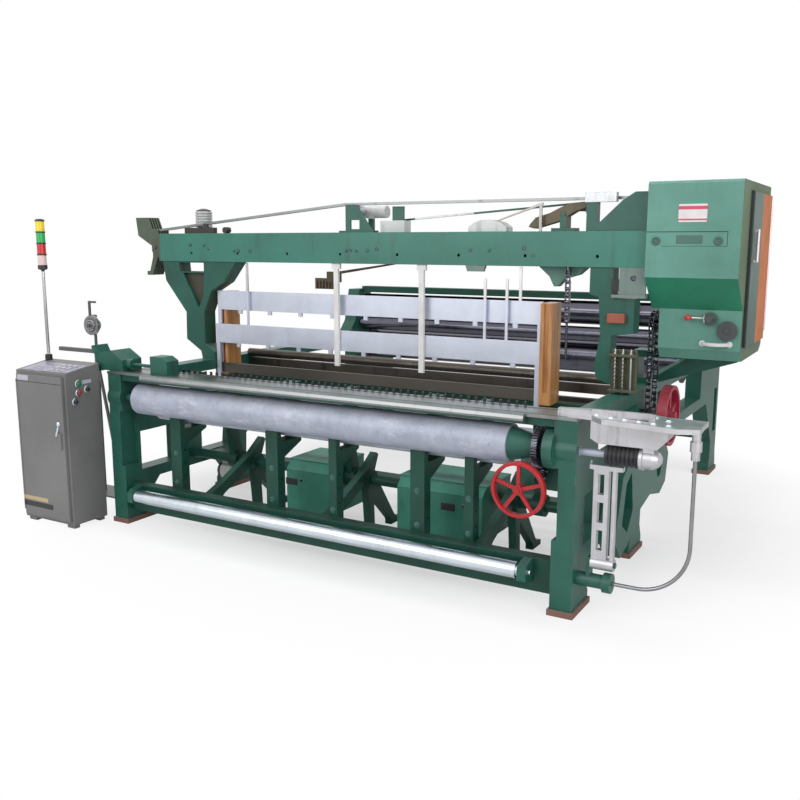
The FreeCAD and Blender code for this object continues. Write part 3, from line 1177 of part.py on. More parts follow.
# Weft-insertion drive outside the right frame: guide carrier, bellows, swing arm and housings.
plate_top = s.frame_top + s.plate_thick
carrier_low = plate_top
bellows_end = s.shaft_out + s.gap + s.bellows_long
carrier_body = profile("XY", [
    (size(-92), size(16)), (size(60), size(-8)), (size(120), size(-70)), (size(420), size(-112)),
    (s.carrier_long, size(-78)), (s.carrier_long, size(-40)), (size(490), size(20)), (size(490), size(96)),
    (size(330), size(104)),
    (size(250), size(150)), (size(60), size(150)), (size(-92), size(120))], 20,
    (right, front, carrier_low), [[(size(110), size(10)), (size(300), size(-30)), (size(250), size(40)),
                                   (size(110), size(70))]])
carrier_rail = box((right - 90, front + 16, carrier_low + 20), (360, 30, 14))
carrier_rib = box((right + 60, front - 6, carrier_low + 20), (250, 12, 26))
case_low = s.take_height + s.bellows_radius + 4
case_block = profile("XZ", [(size(52), case_low + 18), (size(52), carrier_low), (size(360), carrier_low),
                            (size(360), case_low + 44), (size(320), case_low), (size(84), case_low)],
                     96, (right, front + 8, zero))
neck = box((right + bellows_end + 12, front + 22, s.take_height), (44, 56, s.bellows_radius + 10))
dome = turned("X", [(zero, zero), (zero, s.bellows_radius * 1.05), (size(14), s.bellows_radius * 1.05),
                    (size(14), s.bellows_radius * 0.92), (size(50), s.bellows_radius * 0.92),
                    (size(72), s.bellows_radius * 0.66), (size(84), s.bellows_radius * 0.3),
                    (size(86), zero)],
              (right + bellows_end, front + s.take_back, s.take_height))
fitting_x = right + s.tube_out
fitting = join(rod("Z", (fitting_x, front + s.tube_back, carrier_low - 130), 17, 130),
               rod("Z", (fitting_x, front + s.tube_back, carrier_low - 96), 23, 40))
piece("rapier_carrier", join(carrier_body, carrier_rail, carrier_rib, case_block, neck, dome, fitting))


def bellows():
    # Rubber bellows: folds of equal depth along its length.
    folds = 7
    pitch = s.bellows_long / (folds + 1)
    outline = [(zero, s.bellows_radius * 0.5), (zero, s.bellows_radius * 0.9),
               (pitch * 0.5, s.bellows_radius * 0.9)]
    for k in range(folds):
        outline.append((pitch * (k + 0.75), s.bellows_radius * 0.82))
        outline.append((pitch * (k + 1.2), s.bellows_radius))
    outline += [(s.bellows_long - pitch * 0.4, s.bellows_radius * 0.86),
                (s.bellows_long, s.bellows_radius * 0.86), (s.bellows_long, s.bellows_radius * 0.5)]
    return turned("X", outline, (right + s.shaft_out + s.gap, front + s.take_back, s.take_height))


piece("bellows", bellows())

# Lower bracket: a tube from the frame with a flange, a lug and the swing arm's pin.
tube_y = front + s.tube_back
low_tube = rod("X", (right, tube_y, s.tube_height), 30, s.flange_out)
low_flange = rod("X", (right + s.flange_out - 34, tube_y, s.tube_height), 42, 34)
lug = box((right + 44, tube_y - 22, s.tube_height), (16, 44, s.arm_rise + 24))
arm_pin = rod("X", (right + 59, tube_y, s.tube_height + s.arm_rise), s.pin_radius, s.arm_wide + 40)
low_bracket = join(low_tube, low_flange, lug, arm_pin)
housing = profile("YZ", [
    (size(330), size(250)), (size(420), size(520)), (size(560), size(600)), (size(660), size(540)),
    (size(760), size(540)), (size(1180), size(540)), (size(1240), size(470)), (size(1200), size(330)),
    (size(1090), size(290)), (size(900), size(330)), (size(740), size(300)), (size(560), size(190)),
    (size(420), size(150))], s.housing_wide, (right, front, zero),
    [[(size(430), size(300)), (size(480), size(480)), (size(560), size(520)), (size(600), size(330)),
      (size(520), size(240))]],
    [(size(1060), size(430), size(46))])
piece("drive_housing", group(low_bracket, housing))
arm_top = s.take_height - s.bellows_radius - 5
arm_base = s.tube_height + s.arm_rise
arm_left = right + 60 + s.gap
arm_slots = [[(s.arm_wide * 0.3, arm_base + 60 + k * 118), (s.arm_wide * 0.7, arm_base + 60 + k * 118),
              (s.arm_wide * 0.7, arm_base + 146 + k * 118), (s.arm_wide * 0.3, arm_base + 146 + k * 118)]
             for k in range(3)]
arm_blade = profile("XZ", [(zero, arm_base - 22), (s.arm_wide, arm_base - 22), (s.arm_wide, arm_top - 20),
                           (s.arm_wide + 56, arm_top - 18), (s.arm_wide + 56, arm_top),
                           (size(-18), arm_top), (size(-18), arm_top - 18), (zero, arm_top - 20)],
                    30, (arm_left, tube_y - 15, zero), arm_slots)
second_bar = box((arm_left + s.arm_wide + 14, tube_y - 13, arm_base - 20),
                 (15, 26, arm_top - arm_base + 12))
arm_hub = rod("X", (arm_left, tube_y, arm_base), 27, s.arm_wide + 32)
arm_bore = rod("X", (arm_left - 1, tube_y, arm_base), s.pin_radius + s.fit, s.arm_wide + 34)
piece("swing_arm", cut(join(arm_blade, second_bar, arm_hub), arm_bore))


def guide_tube():
    # From the flange, level, round a quarter turn and up into the carrier's fitting.
    start = vector(float(right + s.flange_out), float(tube_y), float(s.tube_height))
    bend = float(s.tube_bend)
    far = float(fitting_x)
    top = float(carrier_low) - 130
    first = vector(far - bend, start.y, start.z)
    second = vector(far, start.y, start.z + bend)
    middle = vector(far - bend + bend * math.sin(math.pi / 4), start.y,
                    start.z + bend - bend * math.cos(math.pi / 4))
    path = Part.Wire([Part.LineSegment(start, first).toShape(), Part.Arc(first, middle, second).toShape(),
                      Part.LineSegment(second, vector(far, start.y, top)).toShape()])
    ring = Part.Wire([Part.makeCircle(float(s.tube_radius), start, vector(1, 0, 0))])
    return shaped(path.makePipeShell([ring], True, False), (zero, zero, zero))


piece("guide_tube", guide_tube())

# Left end: the receiving guide's housing and a block beside it, both on the breast plate.
left_cover = profile("XZ", [(size(-110), plate_top), (size(96), plate_top), (size(96), plate_top + 62),
                            (size(10), plate_top + 112), (size(-76), plate_top + 96),
                            (size(-110), plate_top + 60)], 140, (left, front + 20, zero))
left_hub = rod("X", (left + 96, front + 70, plate_top + 36), 30, 34)
left_shaft = rod("X", (left + 130, front + 70, plate_top + 36), 9, 170)
left_block = profile("XZ", [(size(300), plate_top), (size(420), plate_top), (size(420), plate_top + 74),
                            (size(380), plate_top + 96), (size(300), plate_top + 96)], 90,
                     (left, front + 25, zero))
left_plate = profile("XZ", [
    (size(-124), s.frame_top), (size(-112), s.frame_top), (size(-112), plate_top + 60),
    (size(-150), plate_top + 130), (size(-160), plate_top + 122), (size(-124), plate_top + 56)], 110,
    (left, front + 34, zero))
left_plate_foot = box((left - 113, front + 34, plate_top + 12), (4, 110, 30))
piece("left_guide", join(left_cover, left_hub, left_shaft, left_block, left_plate, left_plate_foot))

# Control cabinet on its own feet: a sheet shell, a hinged door, push buttons and the signal tower.
cab_x = left - s.cab_left
cab_y = front + s.cab_front
cab_top = s.cab_high + s.cab_rise
cab_outer = profile("YZ", [(zero, s.cab_foot), (zero, s.cab_high), (s.cab_deep, cab_top),
                           (s.cab_deep, s.cab_foot)], s.cab_wide, (cab_x, cab_y, zero))
cab_inner = box((cab_x + s.cab_wall, cab_y + s.cab_wall, s.cab_foot + s.cab_wall),
                (s.cab_wide - s.cab_wall * 2, s.cab_deep - s.cab_wall * 2,
                 s.cab_high - s.cab_foot - s.cab_wall * 2))
cab_edge = s.door_margin + s.door_lap
cab_mouth = box((cab_x + cab_edge, cab_y - 1, s.cab_foot + cab_edge),
                (s.cab_wide - cab_edge * 2, s.cab_wall + 2, s.cab_high - s.cab_foot - cab_edge * 2))
cab_feet = [box((cab_x + dx, cab_y + dy, zero), (60, 34, s.cab_foot))
            for dx in (12, s.cab_wide - 72) for dy in (10, s.cab_deep - 44)]
button_y = cab_y + s.cab_deep * 0.35
button_spots = (s.cab_high - 110, s.cab_high - 60)
button_holes = [rod("X", (cab_x + s.cab_wide - 10, button_y, z), s.button_radius + s.fit, 20)
                for z in button_spots]
tower_x = cab_x + 24
tower_y = cab_y + s.cab_deep - 26
tower_seat = s.cab_high + s.cab_rise * 0.5
tower_hole = rod("Z", (tower_x, tower_y, tower_seat), 20 + s.fit, 100)
piece("cabinet_body", cut(join(cab_outer, *cab_feet), cab_inner, cab_mouth, tower_hole, *button_holes))
piece("cabinet_door", join(
    rod("Z", (cab_x + s.door_margin, cab_y - s.door_thick - s.gap, s.cab_foot + s.door_margin + 30),
        s.knuckle, s.cab_high - s.cab_foot - s.door_margin * 2 - 60),
    box((cab_x + s.door_margin, cab_y - s.door_thick - s.gap, s.cab_foot + s.door_margin),
        (s.cab_wide - s.door_margin * 2, s.door_thick, s.cab_high - s.cab_foot - s.door_margin * 2)),
    box((cab_x + s.cab_wide - s.door_margin - 44, cab_y - s.door_thick - s.gap - 8, s.cab_high * 0.52),
        (24, 9, 90))))
for name, z in zip(("stop_button", "start_button"), button_spots):
    piece(name, turned("X", [(size(-16), zero), (size(-16), s.button_radius), (size(9), s.button_radius),
                             (size(9), s.button_radius * 1.35), (size(14), s.button_radius * 1.35),
                             (size(16), s.button_radius), (size(16), zero)],
                       (cab_x + s.cab_wide, button_y, z)))


def signal_tower():
    outline = [(tower_seat, zero), (tower_seat, size(20)), (cab_top + 26, size(20)),
               (cab_top + 34, s.pole_radius), (s.tower_base - 30, s.pole_radius),
               (s.tower_base - 22, s.lamp_radius), (s.tower_base, s.lamp_radius)]
    for k in range(4):
        low = s.tower_base + s.lamp_tall * k
        outline += [(low, s.lamp_radius - 2), (low + s.lamp_tall - 8, s.lamp_radius - 2),
                    (low + s.lamp_tall - 8, s.lamp_radius), (low + s.lamp_tall, s.lamp_radius)]
    top = s.tower_base + s.lamp_tall * 4
    outline += [(top + 6, s.lamp_radius * 0.6), (top + 6, zero)]
    return turned("Z", outline, (tower_x, tower_y, zero))


piece("signal_tower", signal_tower())

# Yarn stand behind the cabinet: base, post, level bar, tension disc and a bent feeler.
stand_x = left - s.stand_out
stand_y = front + s.stand_back
stand_parts = [
    box((stand_x - 90, stand_y - 90, zero), (300, 180, 10)),
    rod("Z", (stand_x, stand_y, 9), 14, s.bar_height - 8),
    box((stand_x - 330, stand_y - 12, s.bar_height), (440, 24, 24)),
    rod("Z", (stand_x, stand_y, s.bar_height + 23), 9, s.disc_height - s.bar_height + 40),
    rod("Y", (stand_x, stand_y - 34, s.disc_height), 60, 20),
    rod("Y", (stand_x, stand_y - 42, s.disc_height), 34, 60),
    rod("Y", (stand_x, stand_y - 56, s.disc_height), 12, 20),
    box((stand_x - 46, stand_y - 6, s.disc_height + 50), (62, 12, 12)),
    box((stand_x - 46, stand_y - 6, s.disc_height + 50), (12, 12, 96)),
    box((stand_x - 46, stand_y - 6, s.disc_height + 134), (60, 12, 12))]
brace = profile("XZ", [(size(0), s.bar_height - 60), (size(14), s.bar_height - 60), (size(180), size(9)),
                       (size(160), size(9))], 14, (stand_x, stand_y - 7, zero))
piece("yarn_stand", join(*stand_parts, brace))

doc.recompute()
for item in doc.Objects:
    if "Invalid" in item.State or "Error" in item.State:
        raise RuntimeError("%s failed: %s" % (item.Label, item.State))
for item in pieces:
    if item.Shape.isNull() or not item.Shape.isValid():
        raise RuntimeError("%s has no valid shape" % item.Label)
    item.Shape.exportStep("parts/%s.step" % item.Label)
    print(item.Label, len(item.Shape.Solids), [round(v) for v in (
        item.Shape.BoundBox.XMin, item.Shape.BoundBox.XMax, item.Shape.BoundBox.YMin,
        item.Shape.BoundBox.YMax, item.Shape.BoundBox.ZMin, item.Shape.BoundBox.ZMax)])
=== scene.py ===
import json
import math

import bpy
import numpy as np
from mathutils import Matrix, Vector


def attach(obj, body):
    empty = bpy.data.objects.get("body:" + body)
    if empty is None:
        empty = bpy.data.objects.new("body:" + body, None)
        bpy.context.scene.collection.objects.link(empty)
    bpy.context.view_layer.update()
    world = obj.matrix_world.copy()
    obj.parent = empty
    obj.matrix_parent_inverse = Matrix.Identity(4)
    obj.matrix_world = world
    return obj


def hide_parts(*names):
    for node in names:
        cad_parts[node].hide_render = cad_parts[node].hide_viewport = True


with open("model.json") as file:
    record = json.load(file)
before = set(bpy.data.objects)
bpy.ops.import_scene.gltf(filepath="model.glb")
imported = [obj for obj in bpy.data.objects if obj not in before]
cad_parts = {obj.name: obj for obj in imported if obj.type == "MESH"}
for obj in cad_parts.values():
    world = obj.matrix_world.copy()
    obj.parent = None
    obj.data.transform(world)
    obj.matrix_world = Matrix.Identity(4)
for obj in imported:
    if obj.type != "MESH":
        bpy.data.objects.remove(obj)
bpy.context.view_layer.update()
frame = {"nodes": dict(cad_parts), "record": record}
nodes = frame["nodes"]
slotOf = {part["node"]: part["material_slot"] for part in frame["record"]["subparts"]}
print("frame loaded:", len(nodes), "nodes")

# The camera comes first: it stands at eye height, right of the loom's middle.
shot = {"place": (2.503, -4.895, 1.560), "turn": (79.97, 0.0, 30.13), "lens": 40.32, "film": 36.0}
camera = bpy.data.objects.new("camera", bpy.data.cameras.new("camera"))
camera.location = shot["place"]
camera.rotation_euler = [math.radians(angle) for angle in shot["turn"]]
camera.data.lens = shot["lens"]
camera.data.sensor_width = shot["film"]
bpy.context.scene.collection.objects.link(camera)
bpy.context.scene.camera = camera


# Small helpers for node trees. A number goes on the socket itself, and a socket is linked to it.
def feed(tree, socket, value):
    if isinstance(value, bpy.types.NodeSocket):
        tree.links.new(value, socket)
    else:
        socket.default_value = value


def put(tree, kind, inputs=None, **settings):
    node = tree.nodes.new("ShaderNode" + kind)
    for name, value in settings.items():
        setattr(node, name, value)
    for name, value in (inputs or {}).items():
        feed(tree, node.inputs[name], value)
    return node


def calc(tree, operation, *values, clamp=False):
    inputs = dict(enumerate(values))
    return put(tree, "Math", inputs, operation=operation, use_clamp=clamp).outputs[0]


def remap(tree, value, low, high, toLow, toHigh):
    return put(tree, "MapRange", {"Value": value, "From Min": low, "From Max": high,
                                  "To Min": toLow, "To Max": toHigh}).outputs["Result"]


def mixColour(tree, factor, first, second, blend="MIX"):
    # Socket 0 is the factor, sockets 6 and 7 are the colours, and output 2 is the mixed colour.
    inputs = {0: factor, 6: first, 7: second}
    return put(tree, "Mix", inputs, data_type="RGBA", blend_type=blend).outputs[2]


def grey(tree, tone):
    return put(tree, "CombineColor", {0: tone, 1: tone, 2: tone}).outputs[0]


def noise(tree, scale, detail, rough, stretch=None):
    place = put(tree, "TexCoord").outputs["Object"]
    if stretch is not None:
        place = put(tree, "Mapping", {"Vector": place, "Scale": stretch}).outputs[0]
    return put(tree, "TexNoise", {"Vector": place, "Scale": scale, "Detail": detail,
                                  "Roughness": rough}).outputs["Fac"]


def blotches(tree, texture, span):
    return remap(tree, noise(tree, *texture), *span)


def splitPlace(tree):
    return put(tree, "SeparateXYZ", {0: put(tree, "TexCoord").outputs["Object"]}).outputs


def over(tree, value, limit):
    return calc(tree, "GREATER_THAN", value, limit)


def under(tree, value, limit):
    return calc(tree, "LESS_THAN", value, limit)


def both(tree, *masks):
    share = masks[0]
    for mask in masks[1:]:
        share = calc(tree, "MULTIPLY", share, mask)
    return share


def band(tree, value, low, high):
    return both(tree, over(tree, value, low), under(tree, value, high))


def fromLine(tree, *offsets):
    # Distance from a line along one axis: the root of the sum of the two other offsets' squares.
    squares = [calc(tree, "POWER", calc(tree, "SUBTRACT", value, middle), 2.0)
               for value, middle in offsets]
    return calc(tree, "SQRT", calc(tree, "ADD", *squares))


def newGroup(name, inputs, outputs):
    group = bpy.data.node_groups.new(name, "ShaderNodeTree")
    for label in inputs:
        group.interface.new_socket(label, in_out="INPUT", socket_type="NodeSocketFloat")
    for label, kind in outputs.items():
        group.interface.new_socket(label, in_out="OUTPUT", socket_type="NodeSocket" + kind)
    return group, group.nodes.new("NodeGroupInput"), group.nodes.new("NodeGroupOutput")


# Shared effects. A noise is given as scale, detail and roughness, at times with a stretch, and a
# span as the two values that come in and the two that they become.
# Weather: uneven tone, settled dust, oil runs and the paint's fine grain.
weatherLook = {"patches": (6.0, 0.6), "tone": (0.3, 0.7, 0.78, 1.13),
               "dust": ((11.0, 5.0, 0.65), (0.38, 0.66, 0.25, 1.0)),
               "runs": ((3.2, 5.0, 0.6, (5.0, 5.0, 0.7)), (0.56, 0.7, 0.0, 1.0)),
               "grain": (260.0, 3.0, 0.6)}


def weatherGroup():
    group, given, result = newGroup(
        "weather", ("Patch size", "Dust", "Oil"),
        {"Tone": "Float", "Dust": "Float", "Oil": "Float", "Grain": "Float"})
    normal = put(group, "NewGeometry").outputs["Normal"]
    upward = calc(group, "MAXIMUM", put(group, "SeparateXYZ", {0: normal}).outputs["Z"], 0.0)
    patches = noise(group, given.outputs["Patch size"], *weatherLook["patches"])
    dust = calc(group, "MULTIPLY", upward, blotches(group, *weatherLook["dust"]))
    runs = blotches(group, *weatherLook["runs"])
    marks = {"Tone": remap(group, patches, *weatherLook["tone"]),
             "Dust": calc(group, "MULTIPLY", dust, given.outputs["Dust"]),
             "Oil": calc(group, "MULTIPLY", runs, given.outputs["Oil"]),
             "Grain": noise(group, *weatherLook["grain"])}
    for label, socket in marks.items():
        group.links.new(socket, result.inputs[label])
    return group


# Edges: a rounded normal, and a mask where the rounding turns away from the flat face. The mask,
# broken into patches, carries a paler edge colour that is partly wear and partly painted highlight.
edgeLook = {"turned": (0.985, 0.8, 0.0, 1.0),
            "edgePatches": ((34.0, 5.0, 0.7), (0.46, 0.62, 0.0, 1.0))}


def edgeGroup():
    group, given, result = newGroup("edges", ("Radius", "Wear and sheen"),
                                    {"Edge": "Float", "Normal": "Vector"})
    rounded = put(group, "Bevel", {"Radius": given.outputs["Radius"]}, samples=4).outputs["Normal"]
    flat = put(group, "NewGeometry").outputs["True Normal"]
    turn = put(group, "VectorMath", {0: rounded, 1: flat}, operation="DOT_PRODUCT")
    edge = remap(group, turn.outputs["Value"], *edgeLook["turned"])
    patchyEdge = calc(group, "MULTIPLY", edge, blotches(group, *edgeLook["edgePatches"]))
    wornAndLit = calc(group, "MULTIPLY", patchyEdge, given.outputs["Wear and sheen"], clamp=True)
    group.links.new(wornAndLit, result.inputs["Edge"])
    group.links.new(rounded, result.inputs["Normal"])
    return group


# Brushed: fine lines along one axis for the height, and broad haze for tone and roughness.
brushedLook = {"lines": (120.0, 4.0, 0.6), "haze": (7.0, 6.0, 0.7)}


def brushedGroup():
    group, given, result = newGroup("brushed", ("Along x", "Along y", "Along z"),
                                    {"Lines": "Float", "Haze": "Float"})
    along = put(group, "CombineXYZ", {axis: given.outputs[axis] for axis in range(3)}).outputs[0]
    group.links.new(noise(group, *brushedLook["lines"], along), result.inputs["Lines"])
    group.links.new(noise(group, *brushedLook["haze"]), result.inputs["Haze"])
    return group


weather = weatherGroup()
edges = edgeGroup()
brushed = brushedGroup()
print("shared effects built")


def useGroup(tree, group, values):
    node = tree.nodes.new("ShaderNodeGroup")
    node.node_tree = group
    for name, value in values.items():
        node.inputs[name].default_value = value
    return node.outputs


def weathered(tree, look):
    return useGroup(tree, weather, {"Patch size": look["patch"], "Dust": look["dust"],
                                    "Oil": look["oil"]})


def blankMaterial(name):
    material = bpy.data.materials.new(name)
    material.use_nodes = True
    tree = material.node_tree
    tree.nodes.clear()
    shader = tree.nodes.new("ShaderNodeBsdfPrincipled")
    tree.links.new(shader.outputs[0], tree.nodes.new("ShaderNodeOutputMaterial").inputs[0])
    return material, tree, shader


def fill(tree, shader, values, bump):
    for label, value in values.items():
        feed(tree, shader.inputs[label], value)
    tree.links.new(put(tree, "Bump", bump).outputs[0], shader.inputs["Normal"])


def rgba(colour):
    return (*colour, 1.0)


def layZones(tree, zones, colour, roughness, metallic):
    # A zone is a mask with the colour, roughness and metal share that lie over the ones before.
    for mask, zoneColour, zoneRough, zoneMetal in (zones(tree) if zones else ()):
        colour = mixColour(tree, mask, colour, rgba(zoneColour))
        roughness = remap(tree, mask, 0.0, 1.0, roughness, zoneRough)
        metallic = remap(tree, mask, 0.0, 1.0, metallic, zoneMetal)
    return colour, roughness, metallic


# Paint, plastic and rubber: a base colour (or zones of colour) under tone, dust, oil and paler
# edges, which are partly wear and partly painted highlight. A surface has what coatedLook says
# unless its own look says otherwise, and so with metalLook.
coatedLook = {"patch": 5.0, "dust": 0.4, "oil": 0.3, "round": 0.003, "wearAndSheen": 0.5, "grain": 0.12,
              "deep": 0.001, "wornAndLitEdge": (0.30, 0.31, 0.30), "coat": 0.0, "specular": 0.5}
film = {"dust": (0.36, 0.34, 0.30), "oil": (0.03, 0.032, 0.025), "dustRough": 0.35,
        "oilSmooth": 0.12, "coatRough": 0.15}


def coated(name, given, zones=None):
    look = {**coatedLook, **given}
    material, tree, shader = blankMaterial(name)
    marks = weathered(tree, look)
    rim = useGroup(tree, edges, {"Radius": look["round"], "Wear and sheen": look["wearAndSheen"]})
    colour, roughness, metallic = layZones(tree, zones, rgba(look["colour"]), look["rough"], 0.0)
    colour = mixColour(tree, 1.0, colour, grey(tree, marks["Tone"]), "MULTIPLY")
    colour = mixColour(tree, marks["Dust"], colour, rgba(film["dust"]))
    colour = mixColour(tree, marks["Oil"], colour, rgba(film["oil"]))
    # Paler edges: partly worn paint, partly painted highlight.
    colour = mixColour(tree, rim["Edge"], colour, rgba(look["wornAndLitEdge"]))
    dulled = calc(tree, "MULTIPLY", marks["Dust"], film["dustRough"])
    roughness = calc(tree, "ADD", roughness, dulled, clamp=True)
    smoothed = calc(tree, "MULTIPLY", marks["Oil"], film["oilSmooth"])
    roughness = calc(tree, "SUBTRACT", roughness, smoothed, clamp=True)
    fill(tree, shader, {"Base Color": colour, "Roughness": roughness, "Metallic": metallic,
                        "Coat Weight": look["coat"], "Coat Roughness": film["coatRough"],
                        "Specular IOR Level": look["specular"]},
         {"Height": marks["Grain"], "Normal": rim["Normal"], "Distance": look["deep"],
          "Strength": look["grain"]})
    return material


# Bare metal: brushed along an axis, with haze and dark grease in patches.
metalLook = {"patch": 9.0, "dust": 0.15, "oil": 0.35, "round": 0.0015, "dark": 0.82, "light": 1.06,
             "metallic": 1.0, "grain": 0.18, "deep": 0.0006, "grease": (0.10, 0.09, 0.08)}
haze = {"tone": (0.3, 0.7), "rough": (0.25, 0.75), "smoother": 0.07, "rougher": 0.1}
metalDust = (0.42, 0.40, 0.36)


def metal(name, given, zones=None):
    look = {**metalLook, **given}
    material, tree, shader = blankMaterial(name)
    lines = useGroup(tree, brushed, dict(zip(("Along x", "Along y", "Along z"), look["along"])))
    marks = weathered(tree, look)
    rim = useGroup(tree, edges, {"Radius": look["round"], "Wear and sheen": 0.0})
    tone = remap(tree, lines["Haze"], *haze["tone"], look["dark"], look["light"])
    colour = mixColour(tree, 1.0, rgba(look["colour"]), grey(tree, tone), "MULTIPLY")
    roughness = remap(tree, lines["Haze"], *haze["rough"], look["rough"] - haze["smoother"],
                      look["rough"] + haze["rougher"])
    colour, roughness, metallic = layZones(tree, zones, colour, roughness, look["metallic"])
    colour = mixColour(tree, marks["Oil"], colour, rgba(look["grease"]))
    colour = mixColour(tree, marks["Dust"], colour, rgba(metalDust))
    fill(tree, shader, {"Base Color": colour, "Roughness": roughness, "Metallic": metallic},
         {"Height": lines["Lines"], "Normal": rim["Normal"], "Distance": look["deep"],
          "Strength": look["grain"]})
    return material


castingGreen = (0.016, 0.100, 0.072)
# The casting green lightened for the top beam: painted light for the beam's brighter lighting.
litBeamGreen = (0.027, 0.176, 0.128)
# The casting green darkened: painted shade for the low inner parts that stand in shadow behind the
# rollers and plate.
shadedGreen = (0.006, 0.060, 0.040)
sheetGreen = (0.120, 0.290, 0.236)
steelTone = (0.27, 0.28, 0.285)
paleGrey, oilBrown, dullBlack = (0.56, 0.57, 0.56), (0.085, 0.062, 0.036), (0.016, 0.017, 0.018)
slotGreen, stripeRed = (0.020, 0.070, 0.050), (0.62, 0.07, 0.14)

# Take-up roller: mottled zinc sleeve, green cone hub at the right, bright shaft end.
takeUp = {"y": -1.425, "z": 0.714, "sleeve": (-1.2, 1.0451),
          "hubs": ((1.0452, 1.159), (1.19, 1.3449)), "leftEnd": (-1.4, -1.15), "leftRadius": 0.06,
          "clouds": ((9.0, 7.0, 0.72), (0.36, 0.66, 0.0, 1.0)),
          "stains": ((5.0, 6.0, 0.75, (1.0, 3.0, 3.0)), (0.55, 0.68, 0.0, 0.7)),
          "specks": ((60.0, 3.0, 0.6), (0.6, 0.7, 0.0, 0.5))}


def rollerZones(tree):
    place = splitPlace(tree)
    radius = fromLine(tree, (place["Y"], takeUp["y"]), (place["Z"], takeUp["z"]))
    sleeve = band(tree, place["X"], *takeUp["sleeve"])
    clouds, stains, specks = (blotches(tree, *takeUp[kind])
                              for kind in ("clouds", "stains", "specks"))
    yield both(tree, sleeve, clouds), (0.31, 0.335, 0.42), 0.55, 0.35
    yield both(tree, sleeve, stains), (0.56, 0.58, 0.66), 0.45, 0.2
    yield both(tree, sleeve, specks), (0.24, 0.25, 0.30), 0.6, 0.3
    for ends in takeUp["hubs"]:
        yield band(tree, place["X"], *ends), castingGreen, 0.4, 0.0
    leftEnd = band(tree, place["X"], *takeUp["leftEnd"])
    yield both(tree, leftEnd, under(tree, radius, takeUp["leftRadius"])), castingGreen, 0.4, 0.0


# Signal tower: a bright pole under four lamps.
tower = {"pole": (0.93, 1.395), "low": 1.430, "pitch": 0.062, "high": 0.054,
         "lamps": ((0.80, 0.62, 0.60), (0.62, 0.03, 0.03), (0.02, 0.42, 0.10), (0.86, 0.66, 0.03))}


def towerZones(tree):
    height = splitPlace(tree)["Z"]
    yield band(tree, height, *tower["pole"]), (0.70, 0.71, 0.73), 0.12, 1.0
    for k, colour in enumerate(tower["lamps"]):
        low = tower["low"] + tower["pitch"] * k
        yield band(tree, height, low, low + tower["high"]), colour, 0.18, 0.0


def shaftZones(tree):
    # The flywheel outside the right casting is red.
    yield over(tree, splitPlace(tree)["X"], 1.444), (0.33, 0.012, 0.035), 0.45, 0.0


def leverZones(tree):
    # The selector's ball is red and its stem bright.
    across = splitPlace(tree)["X"]
    yield under(tree, across, 1.592), (0.60, 0.03, 0.03), 0.16, 0.0
    yield band(tree, across, 1.592, 1.648), (0.72, 0.72, 0.72), 0.2, 1.0


# Head: the hood's front has a lid's seam, the sloping chin under it is greener, and the cheek by
# the door olive. In front of the lower casing stand the white pull handle and, above it, the dial.
casing = {"chin": (1.2501, 1.3995), "chinFront": -0.60, "hoodFront": -0.7745, "cheek": 1.8065,
          "proudFront": -0.6155, "proudTop": 1.2495, "handleTop": 1.112, "dialLow": 1.1125,
          "seamTop": (1.6005, 1.6045), "seamRight": (1.7495, 1.7525), "seamLow": (1.5385, 1.5405),
          "seamReach": (1.47, 1.752), "seamDrop": (1.540, 1.604)}


def casingZones(tree):
    place = splitPlace(tree)
    proud = both(tree, under(tree, place["Y"], casing["proudFront"]),
                 under(tree, place["Z"], casing["proudTop"]))
    chin = both(tree, band(tree, place["Z"], *casing["chin"]),
                under(tree, place["Y"], casing["chinFront"]))
    seamTop = both(tree, band(tree, place["Z"], *casing["seamTop"]),
                   under(tree, place["X"], casing["seamReach"][1]))
    seamRight = both(tree, band(tree, place["X"], *casing["seamRight"]),
                     band(tree, place["Z"], *casing["seamDrop"]))
    seamLow = both(tree, band(tree, place["Z"], *casing["seamLow"]),
                   band(tree, place["X"], *casing["seamReach"]))
    seam = calc(tree, "MAXIMUM", seamTop, calc(tree, "MAXIMUM", seamRight, seamLow))
    seam = both(tree, seam, under(tree, place["Y"], casing["hoodFront"]))
    handle = both(tree, proud, under(tree, place["Z"], casing["handleTop"]))
    dial = both(tree, proud, over(tree, place["Z"], casing["dialLow"]))
    yield chin, (0.032, 0.225, 0.135), 0.45, 0.0
    yield seam, (0.02, 0.06, 0.05), 0.6, 0.0
    yield over(tree, place["X"], casing["cheek"]), (0.118, 0.172, 0.104), 0.6, 0.0
    yield handle, (0.80, 0.81, 0.79), 0.25, 0.0
    yield dial, (0.075, 0.085, 0.085), 0.38, 0.0


def doorZones(tree):
    # The door's front part is grey-green, and the bar handle stands out from the sheet.
    place = splitPlace(tree)
    yield under(tree, place["Y"], -0.335), (0.075, 0.135, 0.118), 0.4, 0.0
    yield over(tree, place["X"], 1.8240), (0.80, 0.66, 0.68), 0.3, 0.6


# Colours by place: an entry is a box of x, y and z limits, a colour, a roughness and a metal share.
def boxZones(entries):
    def zones(tree):
        place = splitPlace(tree)
        for limits, colour, rough, metallic in entries:
            inside = [band(tree, place[axis], *span) for axis, span in zip("XYZ", limits)]
            yield both(tree, *inside), colour, rough, metallic
    return zones


